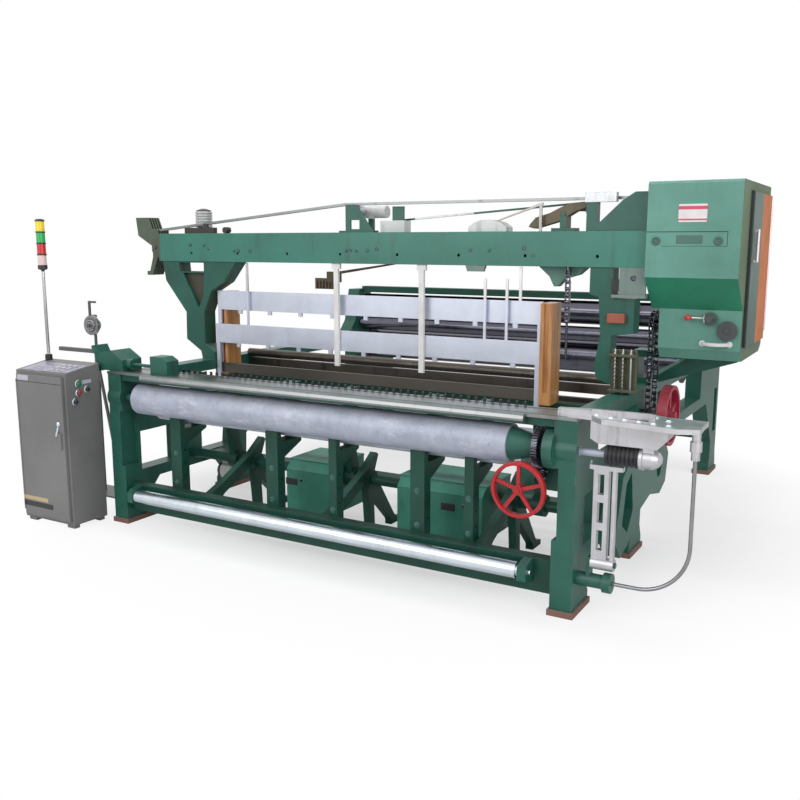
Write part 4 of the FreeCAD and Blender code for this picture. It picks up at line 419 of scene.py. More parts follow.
# The small castings on the beam, from left to right, then those under it.
bracketZones = boxZones([
    (((-2.0, -1.656), (-1.0, 0.0), (1.0, 2.0)), (0.075, 0.085, 0.06), 0.5, 0.0),
    (((-1.46, -1.10), (-0.73, -0.67), (1.6091, 1.70)), (0.055, 0.050, 0.044), 0.4, 0.7),
    (((-0.2595, -0.0865), (-0.61, -0.53), (1.685, 1.76)), (0.66, 0.665, 0.66), 0.45, 0.0),
    (((-0.0755, 0.0755), (-0.67, -0.59), (1.6091, 1.672)), (0.60, 0.61, 0.61), 0.5, 0.0),
    (((0.10, 0.45), (-0.60, -0.58), (1.64, 1.76)), (0.40, 0.41, 0.42), 0.35, 1.0),
    (((0.4675, 0.6775), (-0.70, -0.61), (1.6091, 1.669)), paleGrey, 0.4, 0.3),
    (((0.604, 0.866), (-0.6815, -0.6725), (1.6091, 1.76)), (0.30, 0.29, 0.28), 0.35, 1.0),
    (((0.775, 1.105), (-0.656, -0.594), (1.6091, 1.80)), (0.115, 0.088, 0.048), 0.45, 0.1),
    (((1.0945, 1.1555), (-0.71, -0.66), (1.6091, 1.7415)), (0.36, 0.05, 0.14), 0.35, 0.0),
    (((1.0875, 1.2395), (-0.722, -0.686), (1.7416, 1.79)), (0.52, 0.54, 0.55), 0.35, 0.8),
    (((1.235, 1.398), (-0.7395, -0.698), (1.2995, 1.3145)), (0.17, 0.22, 0.20), 0.45, 0.0),
    (((1.267, 1.395), (-0.726, -0.712), (1.3145, 1.4395)), (0.15, 0.21, 0.19), 0.45, 0.0),
    (((1.234, 1.2708), (-0.7235, -0.6825), (1.3146, 1.3865)), dullBlack, 0.6, 0.0),
    (((-0.56, 0.015), (-0.615, -0.58), (1.28, 1.4385)), oilBrown, 0.4, 0.5),
    (((0.4685, 0.5795), (-0.726, -0.702), (1.409, 1.4395)), (0.16, 0.22, 0.20), 0.45, 0.0),
    (((0.8365, 1.0925), (-0.651, -0.599), (1.34, 1.4395)), (0.09, 0.21, 0.17), 0.45, 0.0),
])
# Long warp-stop bars: bare brown-grey metal behind the heald frames.
tieZones = boxZones([
    (((-1.247, 1.247), (-0.43, -0.325), (0.70, 0.90)), (0.135, 0.115, 0.10), 0.35, 0.85)])
uprightZones = boxZones([
    (((-1.60, -1.10), (-0.690, -0.670), (1.1, 1.44)), (0.060, 0.058, 0.038), 0.5, 0.0)])
plateZones = boxZones([
    (((-1.3, 1.3), (-1.4995, -1.33), (0.80, 0.8425)), slotGreen, 0.45, 0.0),
    (((-1.3, 1.3), (-1.478, -1.446), (0.8425, 0.860)), slotGreen, 0.45, 0.0),
    (((-1.3, 1.3), (-1.355, -1.322), (0.8425, 0.860)), (0.10, 0.115, 0.10), 0.4, 0.7),
    (((-1.3, 1.3), (-1.33, -1.30), (0.8586, 0.88)), (0.05, 0.05, 0.055), 0.4, 0.8)])
doorFace = (-1.73, -1.7195)
cabinetZones = boxZones([
    (((-1.80, -1.43), doorFace, (0.8025, 0.8065)), (0.03, 0.035, 0.033), 0.6, 0.0),
    (((-1.80, -1.60), doorFace, (0.130, 0.152)), (0.45, 0.36, 0.19), 0.4, 0.0),
    (((-1.80, -1.56), doorFace, (0.092, 0.122)), (0.02, 0.022, 0.024), 0.4, 0.0)])
motorZones = boxZones([
    (((-1.2, -1.165), (-0.81, -0.67), (0.09, 0.24)), dullBlack, 0.5, 0.0)])

# Heald frames: the hangers are bright, the rails lilac, and the rear low rail is brown with oil.
heald = {"hangersFrom": 1.268, "rearFrame": (-0.680, -0.655), "lowRail": (0.75, 0.824)}


def healdZones(tree):
    place = splitPlace(tree)
    yield over(tree, place["Z"], heald["hangersFrom"]), (0.60, 0.60, 0.60), 0.3, 1.0
    rearLow = both(tree, band(tree, place["Y"], *heald["rearFrame"]),
                   band(tree, place["Z"], *heald["lowRail"]))
    yield rearLow, (0.150, 0.135, 0.115), 0.35, 0.8


# Yarn stand: the tension disc's face has bright and dark rings round its axis.
disc = {"x": -1.8820, "z": 1.055,
        "rings": ((0.013, 0.022, 0.42), (0.030, 0.0345, 0.62), (0.044, 0.061, 0.30))}


def standZones(tree):
    place = splitPlace(tree)
    radius = fromLine(tree, (place["X"], disc["x"]), (place["Z"], disc["z"]))
    for inner, outer, tone in disc["rings"]:
        yield band(tree, radius, inner, outer), (tone, tone, tone * 1.05), 0.3, 0.7


# Varnished wood: broad and fine streaks drawn out along z.
wood = {"streaks": (26.0, 8.0, 0.62, (1.0, 1.0, 0.09)), "fine": (190.0, 4.0, 0.6, (1.0, 1.0, 0.05)),
        "streakShare": 0.72, "toLight": (0.36, 0.62, 0.0, 1.0), "toSmooth": (0.3, 0.7, 0.5, 0.32),
        "light": (0.66, 0.33, 0.12), "dark": (0.33, 0.13, 0.04), "stain": (0.12, 0.05, 0.02),
        "patch": 4.0, "dust": 0.1, "oil": 0.35, "coat": 0.25, "round": 0.002, "deep": 0.0008,
        "grain": 0.3}


def woodMaterial():
    material, tree, shader = blankMaterial("varnishedWood")
    streaks = calc(tree, "MULTIPLY", noise(tree, *wood["streaks"]), wood["streakShare"])
    fine = calc(tree, "MULTIPLY", noise(tree, *wood["fine"]), 1.0 - wood["streakShare"])
    mixed = calc(tree, "ADD", streaks, fine)
    lightness = remap(tree, mixed, *wood["toLight"])
    colour = mixColour(tree, lightness, rgba(wood["dark"]), rgba(wood["light"]))
    colour = mixColour(tree, weathered(tree, wood)["Oil"], colour, rgba(wood["stain"]))
    roughness = remap(tree, mixed, *wood["toSmooth"])
    rim = useGroup(tree, edges, {"Radius": wood["round"], "Wear and sheen": 0.0})
    fill(tree, shader, {"Base Color": colour, "Roughness": roughness, "Coat Weight": wood["coat"]},
         {"Height": mixed, "Normal": rim["Normal"], "Distance": wood["deep"],
          "Strength": wood["grain"]})
    return material


# The lines of brushed metal: drawn out along x, along z, or not at all.
alongX, alongZ, allWays = (0.02, 1.0, 1.0), (1.0, 1.0, 0.02), (1, 1, 1)

# One finish for each slot of the record.
finishes = {
    # The green finishes' pale green edge colours are lightened for painted highlight as well as
    # wear.
    "green_paint": coated("castingEnamel", {
        "colour": castingGreen, "rough": 0.38, "dust": 0.06, "oil": 0.5, "wearAndSheen": 0.8,
        "wornAndLitEdge": (0.24, 0.40, 0.34), "grain": 0.4, "patch": 4.5, "coat": 0.1, "specular": 0.35}),
    "head_green": coated("sheetEnamel", {
        "colour": sheetGreen, "rough": 0.36, "dust": 0.12, "oil": 0.12, "wearAndSheen": 0.6,
        "wornAndLitEdge": (0.34, 0.42, 0.38), "grain": 0.08, "patch": 2.5, "specular": 0.3}, casingZones),
    "olive_paint": coated("oiledOlive", {
        "colour": (0.080, 0.108, 0.072), "rough": 0.42, "dust": 0.1, "oil": 0.35, "wearAndSheen": 0.8,
        "grain": 0.2}),
    "pad_brown": coated("brownPad", {
        "colour": (0.215, 0.115, 0.085), "rough": 0.75, "dust": 0.6, "oil": 0.2, "wearAndSheen": 0.3,
        "grain": 0.5}),
    "steel": metal("oiledSteel", {
        "colour": steelTone, "rough": 0.34, "along": alongX, "oil": 0.45}, plateZones),
    "mottled_zinc": metal("zincSleeve", {
        "colour": (0.42, 0.44, 0.53), "rough": 0.5, "along": alongX, "oil": 0.14, "dust": 0.04,
        "metallic": 0.35, "grain": 0.35, "dark": 0.86, "light": 1.12}, rollerZones),
    "polished_steel": metal("polishedSteel", {
        "colour": (0.66, 0.73, 0.78), "rough": 0.2, "along": alongX, "oil": 0.12, "dust": 0.05,
        "dark": 0.9}),
    "dark_steel": metal("darkOiledSteel", {
        "colour": (0.135, 0.132, 0.165), "rough": 0.17, "along": alongX, "oil": 0.45,
        "dust": 0.03, "grease": (0.03, 0.029, 0.035)}),
    "red_paint": coated("redEnamel", {
        "colour": (0.42, 0.014, 0.020), "rough": 0.34, "dust": 0.04, "oil": 0.25, "wearAndSheen": 0.45,
        "wornAndLitEdge": (0.52, 0.24, 0.24), "coat": 0.1, "specular": 0.35}),
    "cast_aluminium": metal("castAluminium", {
        "colour": (0.56, 0.555, 0.58), "rough": 0.38, "along": allWays, "oil": 0.35,
        "grain": 0.4, "metallic": 0.85}),
    "lilac_aluminium": metal("lilacAluminium", {
        "colour": (0.62, 0.65, 0.755), "rough": 0.36, "along": alongX, "oil": 0.05, "dust": 0.03,
        "metallic": 0.55, "dark": 0.93}, healdZones),
    "sley_beige": coated("sleyBeige", {
        "colour": (0.10, 0.105, 0.095), "rough": 0.45, "dust": 0.4, "oil": 0.6, "wearAndSheen": 0.5}),
    "wood": woodMaterial(),
    "cream_plastic": coated("creamPlastic", {
        "colour": (0.84, 0.83, 0.82), "rough": 0.5, "dust": 0.1, "oil": 0.12, "wearAndSheen": 0.0,
        "grain": 0.1}),
    "white_plastic": coated("whitePlastic", {
        "colour": (0.52, 0.53, 0.53), "rough": 0.3, "dust": 0.1, "oil": 0.1, "wearAndSheen": 0.0,
        "grain": 0.05}),
    "copper_paint": coated("copperEnamel", {
        "colour": (0.58, 0.205, 0.085), "rough": 0.6, "dust": 0.04, "oil": 0.15, "wearAndSheen": 0.3,
        "specular": 0.12}, doorZones),
    "ball_red": coated("leverFinish", {
        "colour": (0.05, 0.075, 0.065), "rough": 0.4, "wearAndSheen": 0.4}, leverZones),
    "rubber_black": coated("blackRubber", {
        "colour": (0.016, 0.016, 0.019), "rough": 0.5, "dust": 0.35, "oil": 0.1, "wearAndSheen": 0.0,
        "grain": 0.2}),
    "cabinet_grey": coated("cabinetPowder", {
        "colour": (0.168, 0.166, 0.165), "rough": 0.5, "dust": 0.08, "oil": 0.04, "wearAndSheen": 0.25,
        "grain": 0.35, "patch": 1.6}, cabinetZones),
    "button_red": coated("redButton", {
        "colour": (0.30, 0.055, 0.045), "rough": 0.25, "dust": 0.0, "oil": 0.0, "wearAndSheen": 0.0,
        "coat": 0.4}),
    "button_green": coated("greenButton", {
        "colour": (0.035, 0.17, 0.095), "rough": 0.25, "dust": 0.0, "oil": 0.0, "wearAndSheen": 0.0,
        "coat": 0.4}),
    "lamp_stack": coated("lampStack", {
        "colour": (0.02, 0.02, 0.022), "rough": 0.35, "dust": 0.0, "oil": 0.0, "wearAndSheen": 0.0,
        "round": 0.001}, towerZones),
    "motor_grey": coated("motorGrey", {
        "colour": (0.64, 0.66, 0.62), "rough": 0.42, "dust": 0.1, "oil": 0.3}, motorZones),
    "stand_dark": coated("standDark", {
        "colour": (0.10, 0.105, 0.105), "rough": 0.4, "dust": 0.2, "oil": 0.4, "wearAndSheen": 0.9,
        "wornAndLitEdge": (0.45, 0.46, 0.47)}, standZones),
}
# Nodes whose finish differs from their slot's. Some wear lightened or darkened copies of the
# casting green, which paint light or shade into them.
# Painted shade: the inner castings and beams wear the darkened casting green.
shadedEnamel = coated("shadedEnamel", {
    "colour": shadedGreen, "rough": 0.42, "dust": 0.0, "oil": 0.35, "wearAndSheen": 0.4, "grain": 0.3,
    "specular": 0.35})
ownFinish = {
    "main_shaft": metal("shaftAndFlywheel", {
        "colour": (0.16, 0.16, 0.17), "rough": 0.3, "along": alongX, "oil": 0.35}, shaftZones),
    # Painted light: the top beam wears the lightened casting green.
    "top_beam": coated("litBeamEnamel", {
        "colour": litBeamGreen, "rough": 0.36, "dust": 0.06, "oil": 0.3, "wearAndSheen": 0.8,
        "wornAndLitEdge": (0.24, 0.42, 0.35), "grain": 0.2, "patch": 2.6, "coat": 0.1}),
    "beam_brackets": coated("beamBracketEnamel", {
        "colour": castingGreen, "rough": 0.38, "dust": 0.08, "oil": 0.3, "wearAndSheen": 0.5,
        "grain": 0.3}, bracketZones),
    "guide_tube": metal("tubeSteel", {
        "colour": (0.30, 0.30, 0.315), "rough": 0.28, "along": alongZ, "oil": 0.2, "dust": 0.03}),
    # Painted light: the cam boxes wear the casting green lightened about twofold, as if lit where
    # they stand in shadow.
    "cam_boxes": coated("camBoxLitEnamel", {
        "colour": (0.050, 0.225, 0.160), "rough": 0.42, "dust": 0.06, "oil": 0.35, "wearAndSheen": 0.5,
        "grain": 0.3, "specular": 0.35}),
    # The ties' base colour is the darkened casting green too: painted shade.
    "cross_ties": coated("tieEnamel", {
        "colour": shadedGreen, "rough": 0.42, "dust": 0.06, "oil": 0.5, "wearAndSheen": 0.4, "grain": 0.3,
        "specular": 0.35}, tieZones),
    "uprights": coated("uprightEnamel", {
        "colour": castingGreen, "rough": 0.4, "dust": 0.05, "oil": 0.35, "wearAndSheen": 0.4,
        "grain": 0.3, "specular": 0.4}, uprightZones),
    "breast_brackets": shadedEnamel,
    "sley_swords": shadedEnamel,
    "breast_beam": shadedEnamel,
    "sley_beam": shadedEnamel,
}
for name, node in nodes.items():
    for place in node.material_slots:
        place.material = ownFinish.get(name) or finishes[slotOf[name]]
print("finishes built and given to", len(nodes), "nodes")

sharpAngle = math.radians(35)


# Dressed pieces: closed surfaces from rings of points, each end drawn to a pole. A form can stand
# at several spots, and its right and up directions seat it on the face that carries it.
def ringSurface(name, rings, look):
    right = np.array(look.get("right", (1.0, 0.0, 0.0)))
    up = np.array(look.get("up", (0.0, 0.0, 1.0)))
    rings = rings @ np.array([right, up, np.cross(right, up)])
    count, around = rings.shape[:2]
    points = np.vstack([rings[0].mean(axis=0), rings.reshape(-1, 3), rings[-1].mean(axis=0)])
    step = np.arange(around)
    after = np.roll(step, -1)
    row = 1 + around * np.arange(count - 1)[:, None]
    sides = np.stack([row + step, row + after, row + after + around, row + step + around], axis=2)
    sides = sides.reshape(-1, 4)
    last = len(points) - 1
    top = last - around
    ends = np.vstack([np.stack([0 * step, 1 + after, 1 + step], axis=1),
                      np.stack([0 * step + last, top + step, top + after], axis=1)])
    # The faces turn outward: a closed surface holds a positive volume.
    corners = points[np.vstack([sides[:, [0, 1, 2]], sides[:, [0, 2, 3]], ends])]
    if np.einsum("ij,ij->", corners[:, 0], np.cross(corners[:, 1], corners[:, 2])) < 0:
        sides, ends = sides[:, ::-1], ends[:, ::-1]
    spots = np.array(look["spots"])
    shift = len(points) * np.arange(len(spots))[:, None, None]
    faces = (sides + shift).reshape(-1, 4).tolist() + (ends + shift).reshape(-1, 3).tolist()
    mesh = bpy.data.meshes.new(name)
    mesh.from_pydata((points + spots[:, None]).reshape(-1, 3).tolist(), [], faces)
    mesh.shade_smooth()
    mesh.set_sharp_from_angle(angle=sharpAngle)
    mesh.materials.append(look["material"])
    piece = bpy.data.objects.new(name, mesh)
    bpy.context.scene.collection.objects.link(piece)
    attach(piece, look.get("body", "frame"))
    return piece


def turned(outline, around=20):
    # A ring's point: the radius times (cos a, sin a), at its height along the axis.
    angle = np.linspace(0.0, 2 * np.pi, around, endpoint=False)
    radius, height = np.array(outline).T
    return np.stack([radius[:, None] * np.cos(angle), radius[:, None] * np.sin(angle),
                     height[:, None] + 0.0 * angle], axis=2)


def plate(wide, high, thick, corner, bevel, steps=5):
    # A ring's point: its corner's centre plus the corner radius times (cos a, sin a), over a
    # quarter turn. The front ring is drawn in by the bevel.
    quarter = np.repeat(np.arange(4), steps)
    angle = (quarter + np.tile(np.linspace(0.0, 1.0, steps), 4)) * np.pi / 2
    middle = (quarter + 0.5) * np.pi / 2
    centre = np.stack([np.sign(np.cos(middle)) * (wide / 2 - corner),
                       np.sign(np.sin(middle)) * (high / 2 - corner)], axis=1)
    turn = np.stack([np.cos(angle), np.sin(angle)], axis=1)
    drawn = np.array([0.0, 0.0, bevel])[:, None, None]
    flat = centre + (corner - drawn) * turn
    height = np.array([0.0, thick - bevel, thick])[:, None, None] + 0.0 * flat[:, :, :1]
    return np.concatenate([flat, height], axis=2)


def tube(path, radius, side, around):
    # A ring's point: the path's point plus the radius times (side cos a + square sin a), where
    # square stands at right angles to the path and to the side direction.
    run = np.gradient(path, axis=0)
    square = np.cross(run, side)
    square /= np.linalg.norm(square, axis=1, keepdims=True)
    angle = np.linspace(0.0, 2 * np.pi, around, endpoint=False)[None, :, None]
    outward = side[:, None] * np.cos(angle) + square[:, None] * np.sin(angle)
    return path[:, None] + radius * outward


# A front face's spots from its y and their (x, z), and a piece's slot with the material it wears:
# the slot's own finish unless another is given.
def onFront(face, places):
    return [(x, face, z) for x, z in places]


def wears(slot, material=None):
    return {"slot": slot, "material": material or finishes[slot]}


# The hood's front carries a framed plate with two stripes, a small bare plate and two round locks,
# and a gasket runs down beside the door.
hood = {"face": -0.775, "label": (1.599, 1.6835), "small": (1.590, 1.5695), "locks": (1.444, 1.714),
        "lockHeight": 1.562, "gasket": (1.8069, -0.5795, 1.435),
        "stripes": ((1.699, 1.714), (1.652, 1.659))}


def labelZones(tree):
    height = splitPlace(tree)["Z"]
    for span in hood["stripes"]:
        yield band(tree, height, *span), stripeRed, 0.3, 0.0


paleEnamel = coated("paleEnamel", {
    "colour": (0.72, 0.70, 0.70), "rough": 0.35, "dust": 0.0, "oil": 0.06, "wearAndSheen": 0.0,
    "grain": 0.05}, labelZones)
plateGreen = coated("plateGreen", {
    "colour": (0.055, 0.135, 0.112), "rough": 0.34, "dust": 0.0, "oil": 0.1, "wearAndSheen": 0.5,
    "grain": 0.05})
ringSurface("hood_label", plate(wide=0.124, high=0.079, thick=0.003, corner=0.006, bevel=0.001),
            {"spots": onFront(hood["face"], [hood["label"]]), **wears("head_green", paleEnamel)})
ringSurface("hood_plate", plate(wide=0.112, high=0.036, thick=0.0025, corner=0.003, bevel=0.001),
            {"spots": onFront(hood["face"], [hood["small"]]), **wears("head_green", plateGreen)})
lockOutline = [(0.019, 0.0), (0.019, 0.004), (0.016, 0.008), (0.0125, 0.008), (0.0105, 0.004),
               (0.005, 0.004), (0.004, 0.006)]
ringSurface("hood_locks", turned(lockOutline),
            {"spots": onFront(hood["face"], [(x, hood["lockHeight"]) for x in hood["locks"]]),
             **wears("head_green", plateGreen)})
ringSurface("hood_gasket", plate(wide=0.007, high=0.70, thick=0.013, corner=0.003, bevel=0.001),
            {"spots": [hood["gasket"]], "right": (0.0, 1.0, 0.0), **wears("rubber_black")})

# Bolts: a washer with a six-sided head, drawn as shares of their own radius. On the beam's front
# some stand over brackets behind it.
washerForm = [(1.0, 0.0), (1.0, 0.14), (0.92, 0.2), (0.5, 0.2)]
headForm = [(1.0, 0.0), (1.0, 0.62), (0.88, 0.78), (0.4, 0.78)]
washerShare = 1.55
boltGreen = coated("boltGreen", {
    "colour": (0.030, 0.125, 0.100), "rough": 0.3, "dust": 0.05, "oil": 0.4, "wearAndSheen": 0.7,
    "wornAndLitEdge": (0.30, 0.45, 0.40), "patch": 30.0})


def bolts(name, size, spots, look):
    look = {**look, "spots": spots}
    washer, head = np.array(washerForm) * size * washerShare, np.array(headForm) * size
    ringSurface(name + "_washers", turned(washer, around=14), look)
    ringSurface(name + "_heads", turned(head, around=6), look)


beam = {"face": -0.725, "head": 0.0075,
        "bolts": [(-1.403, 1.539), (-1.290, 1.539), (-1.056, 1.507), (-0.935, 1.508),
                  (-0.260, 1.511), (-0.194, 1.511), (-0.123, 1.512), (0.494, 1.518),
                  (0.600, 1.518), (0.836, 1.495)],
        "sockets": [(-1.259, 1.516), (-1.022, 1.507), (-0.230, 1.513), (-0.063, 1.520),
                    (0.788, 1.529)]}
bolts("beam_bolts", beam["head"], onFront(beam["face"], beam["bolts"]),
      wears("green_paint", boltGreen))
socketOutline = [(0.009, 0.0), (0.009, 0.003), (0.007, 0.004), (0.005, 0.001)]
ringSurface("beam_sockets", turned(socketOutline, around=14),
            {"spots": onFront(beam["face"], beam["sockets"]), **wears("dark_steel")})
brackets = {"face": -1.375, "head": 0.010, "middles": (-0.9575, -0.2975, 0.0775, 0.5525, 0.8175),
            "heights": (0.255, 0.420)}
bracketPlaces = [(x, z) for x in brackets["middles"] for z in brackets["heights"]]
bolts("bracket_bolts", brackets["head"], onFront(brackets["face"], bracketPlaces),
      wears("green_paint", boltGreen))
cams = {"face": -1.125, "windows": [(-0.362, 0.283), (0.586, 0.282)],
        "plugs": [(-0.300, 0.297), (0.668, 0.299), (0.702, 0.296)]}
ringSurface("cam_windows", plate(wide=0.076, high=0.037, thick=0.003, corner=0.004, bevel=0.001),
            {"spots": onFront(cams["face"], cams["windows"]), **wears("rubber_black")})
plugOutline = [(0.009, 0.0), (0.009, 0.004), (0.006, 0.005), (0.004, 0.002)]
ringSurface("cam_plugs", turned(plugOutline, around=14),
            {"spots": onFront(cams["face"], cams["plugs"]), **wears("dark_steel")})
shelf = {"plug": (1.335, -0.719, 1.392),
         "outline": [(0.0138, 0.0), (0.0138, 0.006), (0.011, 0.007), (0.009, 0.002)]}
ringSurface("shelf_plug", turned(shelf["outline"], around=18),
            {"spots": [shelf["plug"]], **wears("dark_steel")})
flatSeat = {"right": (1.0, 0.0, 0.0), "up": (0.0, 1.0, 0.0)}  # the form's axis points straight up
carrier = {"top": 0.878, "head": 0.009,
           "bolts": [(1.425, -1.478), (1.490, -1.508), (1.548, -1.520), (1.606, -1.530),
                     (1.664, -1.540), (1.722, -1.546), (1.700, -1.455), (1.640, -1.405)]}
bolts("carrier_bolts", carrier["head"], [(x, y, carrier["top"]) for x, y in carrier["bolts"]],
      {**flatSeat, **wears("steel", finishes["polished_steel"])})

# Cabinet: a lilac key panel on the sloping top, which rises 36 mm over 229 mm. The door has a bare
# tag, a lock and a latch, and the right side collars, switches and a note.
cabinet = {"panel": np.array([-1.600, -1.6180, 0.8762]), "rise": 0.036, "run": 0.229,
           "keysFrom": 0.025, "keyPitch": 0.045, "keyColumns": 3,
           "keyRows": (-0.042, 0.002, 0.044), "panelThick": 0.0018, "paleTo": -1.74,
           "print": ((26.0, 3.0, 0.5, (1.0, 2.2, 1.0)), (0.5, 0.6, 0.0, 0.8)),
           "door": -1.7203, "tag": (-1.740, 0.824), "lock": (-1.472, 0.588),
           "latch": (-1.482, 0.545), "latchRight": (0.93, 0.0, -0.37),
           "latchUp": (0.37, 0.0, 0.93), "side": -1.413, "note": (-1.566, 0.806),
           "buttons": [(-1.624, 0.752), (-1.624, 0.802)],
           "switches": [(-1.566, 0.764), (-1.650, 0.706)]}
slope = math.atan2(cabinet["rise"], cabinet["run"])
slopeUp = np.array([0.0, math.cos(slope), math.sin(slope)])


def panelZones(tree):
    # Pale blotches stand for the print, and the panel's left end is paler.
    yield blotches(tree, *cabinet["print"]), (0.40, 0.40, 0.46), 0.3, 0.0
    yield under(tree, splitPlace(tree)["X"], cabinet["paleTo"]), (0.34, 0.32, 0.42), 0.3, 0.0


panelFilm = coated("panelFilm", {
    "colour": (0.22, 0.20, 0.29), "rough": 0.28, "dust": 0.0, "oil": 0.0, "wearAndSheen": 0.0,
    "grain": 0.05}, panelZones)
keyFilm = coated("keyFilm", {
    "colour": (0.46, 0.46, 0.52), "rough": 0.3, "dust": 0.0, "oil": 0.1, "wearAndSheen": 0.0,
    "grain": 0.05})
onSlope, onSide = {"up": slopeUp}, {"right": (0.0, 1.0, 0.0)}
onDoor = {"body": "door", "slot": "cabinet_grey"}


def sideSpots(places):
    return [(cabinet["side"], y, z) for y, z in places]


ringSurface("cabinet_panel", plate(wide=0.365, high=0.150, thick=0.002, corner=0.006, bevel=0.001),
            {"spots": [cabinet["panel"]], **onSlope, **wears("cabinet_grey", panelFilm)})
keySpots = [cabinet["panel"] + np.array([cabinet["keysFrom"] + cabinet["keyPitch"] * k, 0.0, 0.0])
            + slopeUp * row + np.array([0.0, 0.0, cabinet["panelThick"]])
            for k in range(cabinet["keyColumns"]) for row in cabinet["keyRows"]]
ringSurface("cabinet_keys", plate(wide=0.030, high=0.026, thick=0.003, corner=0.004, bevel=0.001),
            {"spots": keySpots, **onSlope, **wears("cabinet_grey", keyFilm)})
ringSurface("cabinet_tag", plate(wide=0.090, high=0.030, thick=0.002, corner=0.003, bevel=0.001),
            {**onDoor, "spots": onFront(cabinet["door"], [cabinet["tag"]]), "material": keyFilm})
doorLockOutline = [(0.013, 0.0), (0.013, 0.004), (0.010, 0.006), (0.005, 0.006), (0.004, 0.0075),
                   (0.002, 0.0075)]
ringSurface("cabinet_lock", turned(doorLockOutline),
            {**onDoor, "spots": onFront(cabinet["door"], [cabinet["lock"]]),
             "material": finishes["polished_steel"]})
ringSurface("cabinet_latch", plate(wide=0.013, high=0.058, thick=0.0075, corner=0.006, bevel=0.002),
            {**onDoor, "spots": onFront(cabinet["door"], [cabinet["latch"]]),
             "right": cabinet["latchRight"], "up": cabinet["latchUp"],
             "material": finishes["polished_steel"]})
collarOutline = [(0.021, 0.0), (0.021, 0.003), (0.018, 0.006), (0.0155, 0.006)]
ringSurface("cabinet_collars", turned(collarOutline),
            {"spots": sideSpots(cabinet["buttons"] + cabinet["switches"]), **onSide,
             **wears("cabinet_grey", finishes["polished_steel"])})
switchOutline = [(0.011, 0.006), (0.011, 0.014), (0.009, 0.017), (0.004, 0.017)]
ringSurface("cabinet_switches", turned(switchOutline),
            {"spots": sideSpots(cabinet["switches"]), **onSide, **wears("rubber_black")})
ringSurface("cabinet_note", plate(wide=0.062, high=0.020, thick=0.0015, corner=0.002, bevel=0.0005),
            {"spots": sideSpots([cabinet["note"]]), **onSide, **wears("cabinet_grey", keyFilm)})

# The cap on the beam: a foot and six broad ribs under a dark cone, set back to clear the pull rods.
cap = {"spots": [(-1.405, -0.5905, 1.609)], "ribs": 6, "firstRib": 0.038, "pitch": 0.0165}
capOutline = [(0.040, 0.0), (0.040, 0.034), (0.034, 0.036)]
for low in cap["firstRib"] + cap["pitch"] * np.arange(cap["ribs"]):
    capOutline += [(0.0495, low), (0.0525, low + 0.003), (0.0525, low + 0.009),
                   (0.0495, low + 0.012), (0.0445, low + 0.0135)]
capOutline += [(0.044, 0.1365), (0.030, 0.1375)]
capRibs = ringSurface("cap_ribs", turned(capOutline, around=32),
                      {"spots": cap["spots"], **flatSeat, **wears("white_plastic")})
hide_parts("ribbed_cap")
coneOutline = [(0.030, 0.1365), (0.0475, 0.1375), (0.0475, 0.140), (0.018, 0.150), (0.004, 0.152)]
ringSurface("cap_cone", turned(coneOutline, around=24),
            {"spots": cap["spots"], **flatSeat, **wears("rubber_black")})

# On the right upright: a rust-red block, and below it an oily tension group of rods and springs.
tension = {"face": -0.715, "block": (1.263, 1.203), "plate": (1.308, 0.954),
           "rods": (1.270, 1.308, 1.346), "sprung": 2, "low": 0.862, "high": 1.030, "out": 0.026,
           "spring": 0.0115, "wire": 0.0023, "turns": 9, "steps": 8, "nut": 0.009, "nutAt": 0.175}
rustBlock = coated("rustBlock", {
    "colour": (0.32, 0.085, 0.045), "rough": 0.5, "dust": 0.1, "oil": 0.35, "wearAndSheen": 0.5,
    "grain": 0.3})
oliveOil = coated("oliveOil", {
    "colour": (0.070, 0.074, 0.038), "rough": 0.4, "dust": 0.05, "oil": 0.6, "wearAndSheen": 0.9,
    "wornAndLitEdge": (0.22, 0.14, 0.07), "grain": 0.3, "patch": 22.0})
ringSurface("upright_block", plate(wide=0.084, high=0.046, thick=0.030, corner=0.006, bevel=0.003),
            {"spots": onFront(tension["face"], [tension["block"]]),
             **wears("red_paint", rustBlock)})
ringSurface("tension_plate", plate(wide=0.124, high=0.206, thick=0.010, corner=0.006, bevel=0.002),
            {"spots": onFront(tension["face"], [tension["plate"]]),
             **wears("olive_paint", oliveOil)})
shelfPlaces = [(tension["plate"][0], z) for z in (tension["low"], tension["high"])]
ringSurface("tension_shelves",
            plate(wide=0.132, high=0.014, thick=0.042, corner=0.004, bevel=0.002),
            {"spots": onFront(tension["face"], shelfPlaces), **wears("olive_paint", oliveOil)})
# A spring's wire: the spring's radius times (cos a, sin a), while the height grows with a.
rise = np.linspace(0.0, tension["high"] - tension["low"], tension["steps"] * tension["turns"])
angles = np.linspace(0.0, 2 * np.pi * tension["turns"], len(rise))
radial = np.stack([np.cos(angles), np.sin(angles), 0.0 * angles], axis=1)
coil = radial * tension["spring"] + np.stack([0.0 * rise, 0.0 * rise, rise], axis=1)
rodSpots = [(x, tension["face"] - tension["out"], tension["low"]) for x in tension["rods"]]
ringSurface("tension_springs", tube(coil, tension["wire"], radial, around=6),
            {"spots": rodSpots[:tension["sprung"]], **flatSeat, **wears("steel", oliveOil)})
rodOutline = [(0.005, -0.012), (0.005, 0.196), (0.003, 0.200)]
ringSurface("tension_rods", turned(rodOutline, around=10),
            {"spots": rodSpots, **flatSeat, **wears("steel")})
nutOutline = np.array(headForm) * tension["nut"] + np.array([0.0, tension["nutAt"]])
ringSurface("tension_nuts", turned(nutOutline, around=6),
            {"spots": rodSpots, **flatSeat, **wears("steel")})
print("dressed pieces built")

# A pale floor that glows white away from the loom, where the camera looks at it.
floorLook = {"half": 20.0, "colour": (0.86, 0.86, 0.86), "rough": 0.9, "near": 1.3, "far": 2.5,
             "nearGlow": 0.5, "farGlow": 1.0}
white = (1.0, 1.0, 1.0)


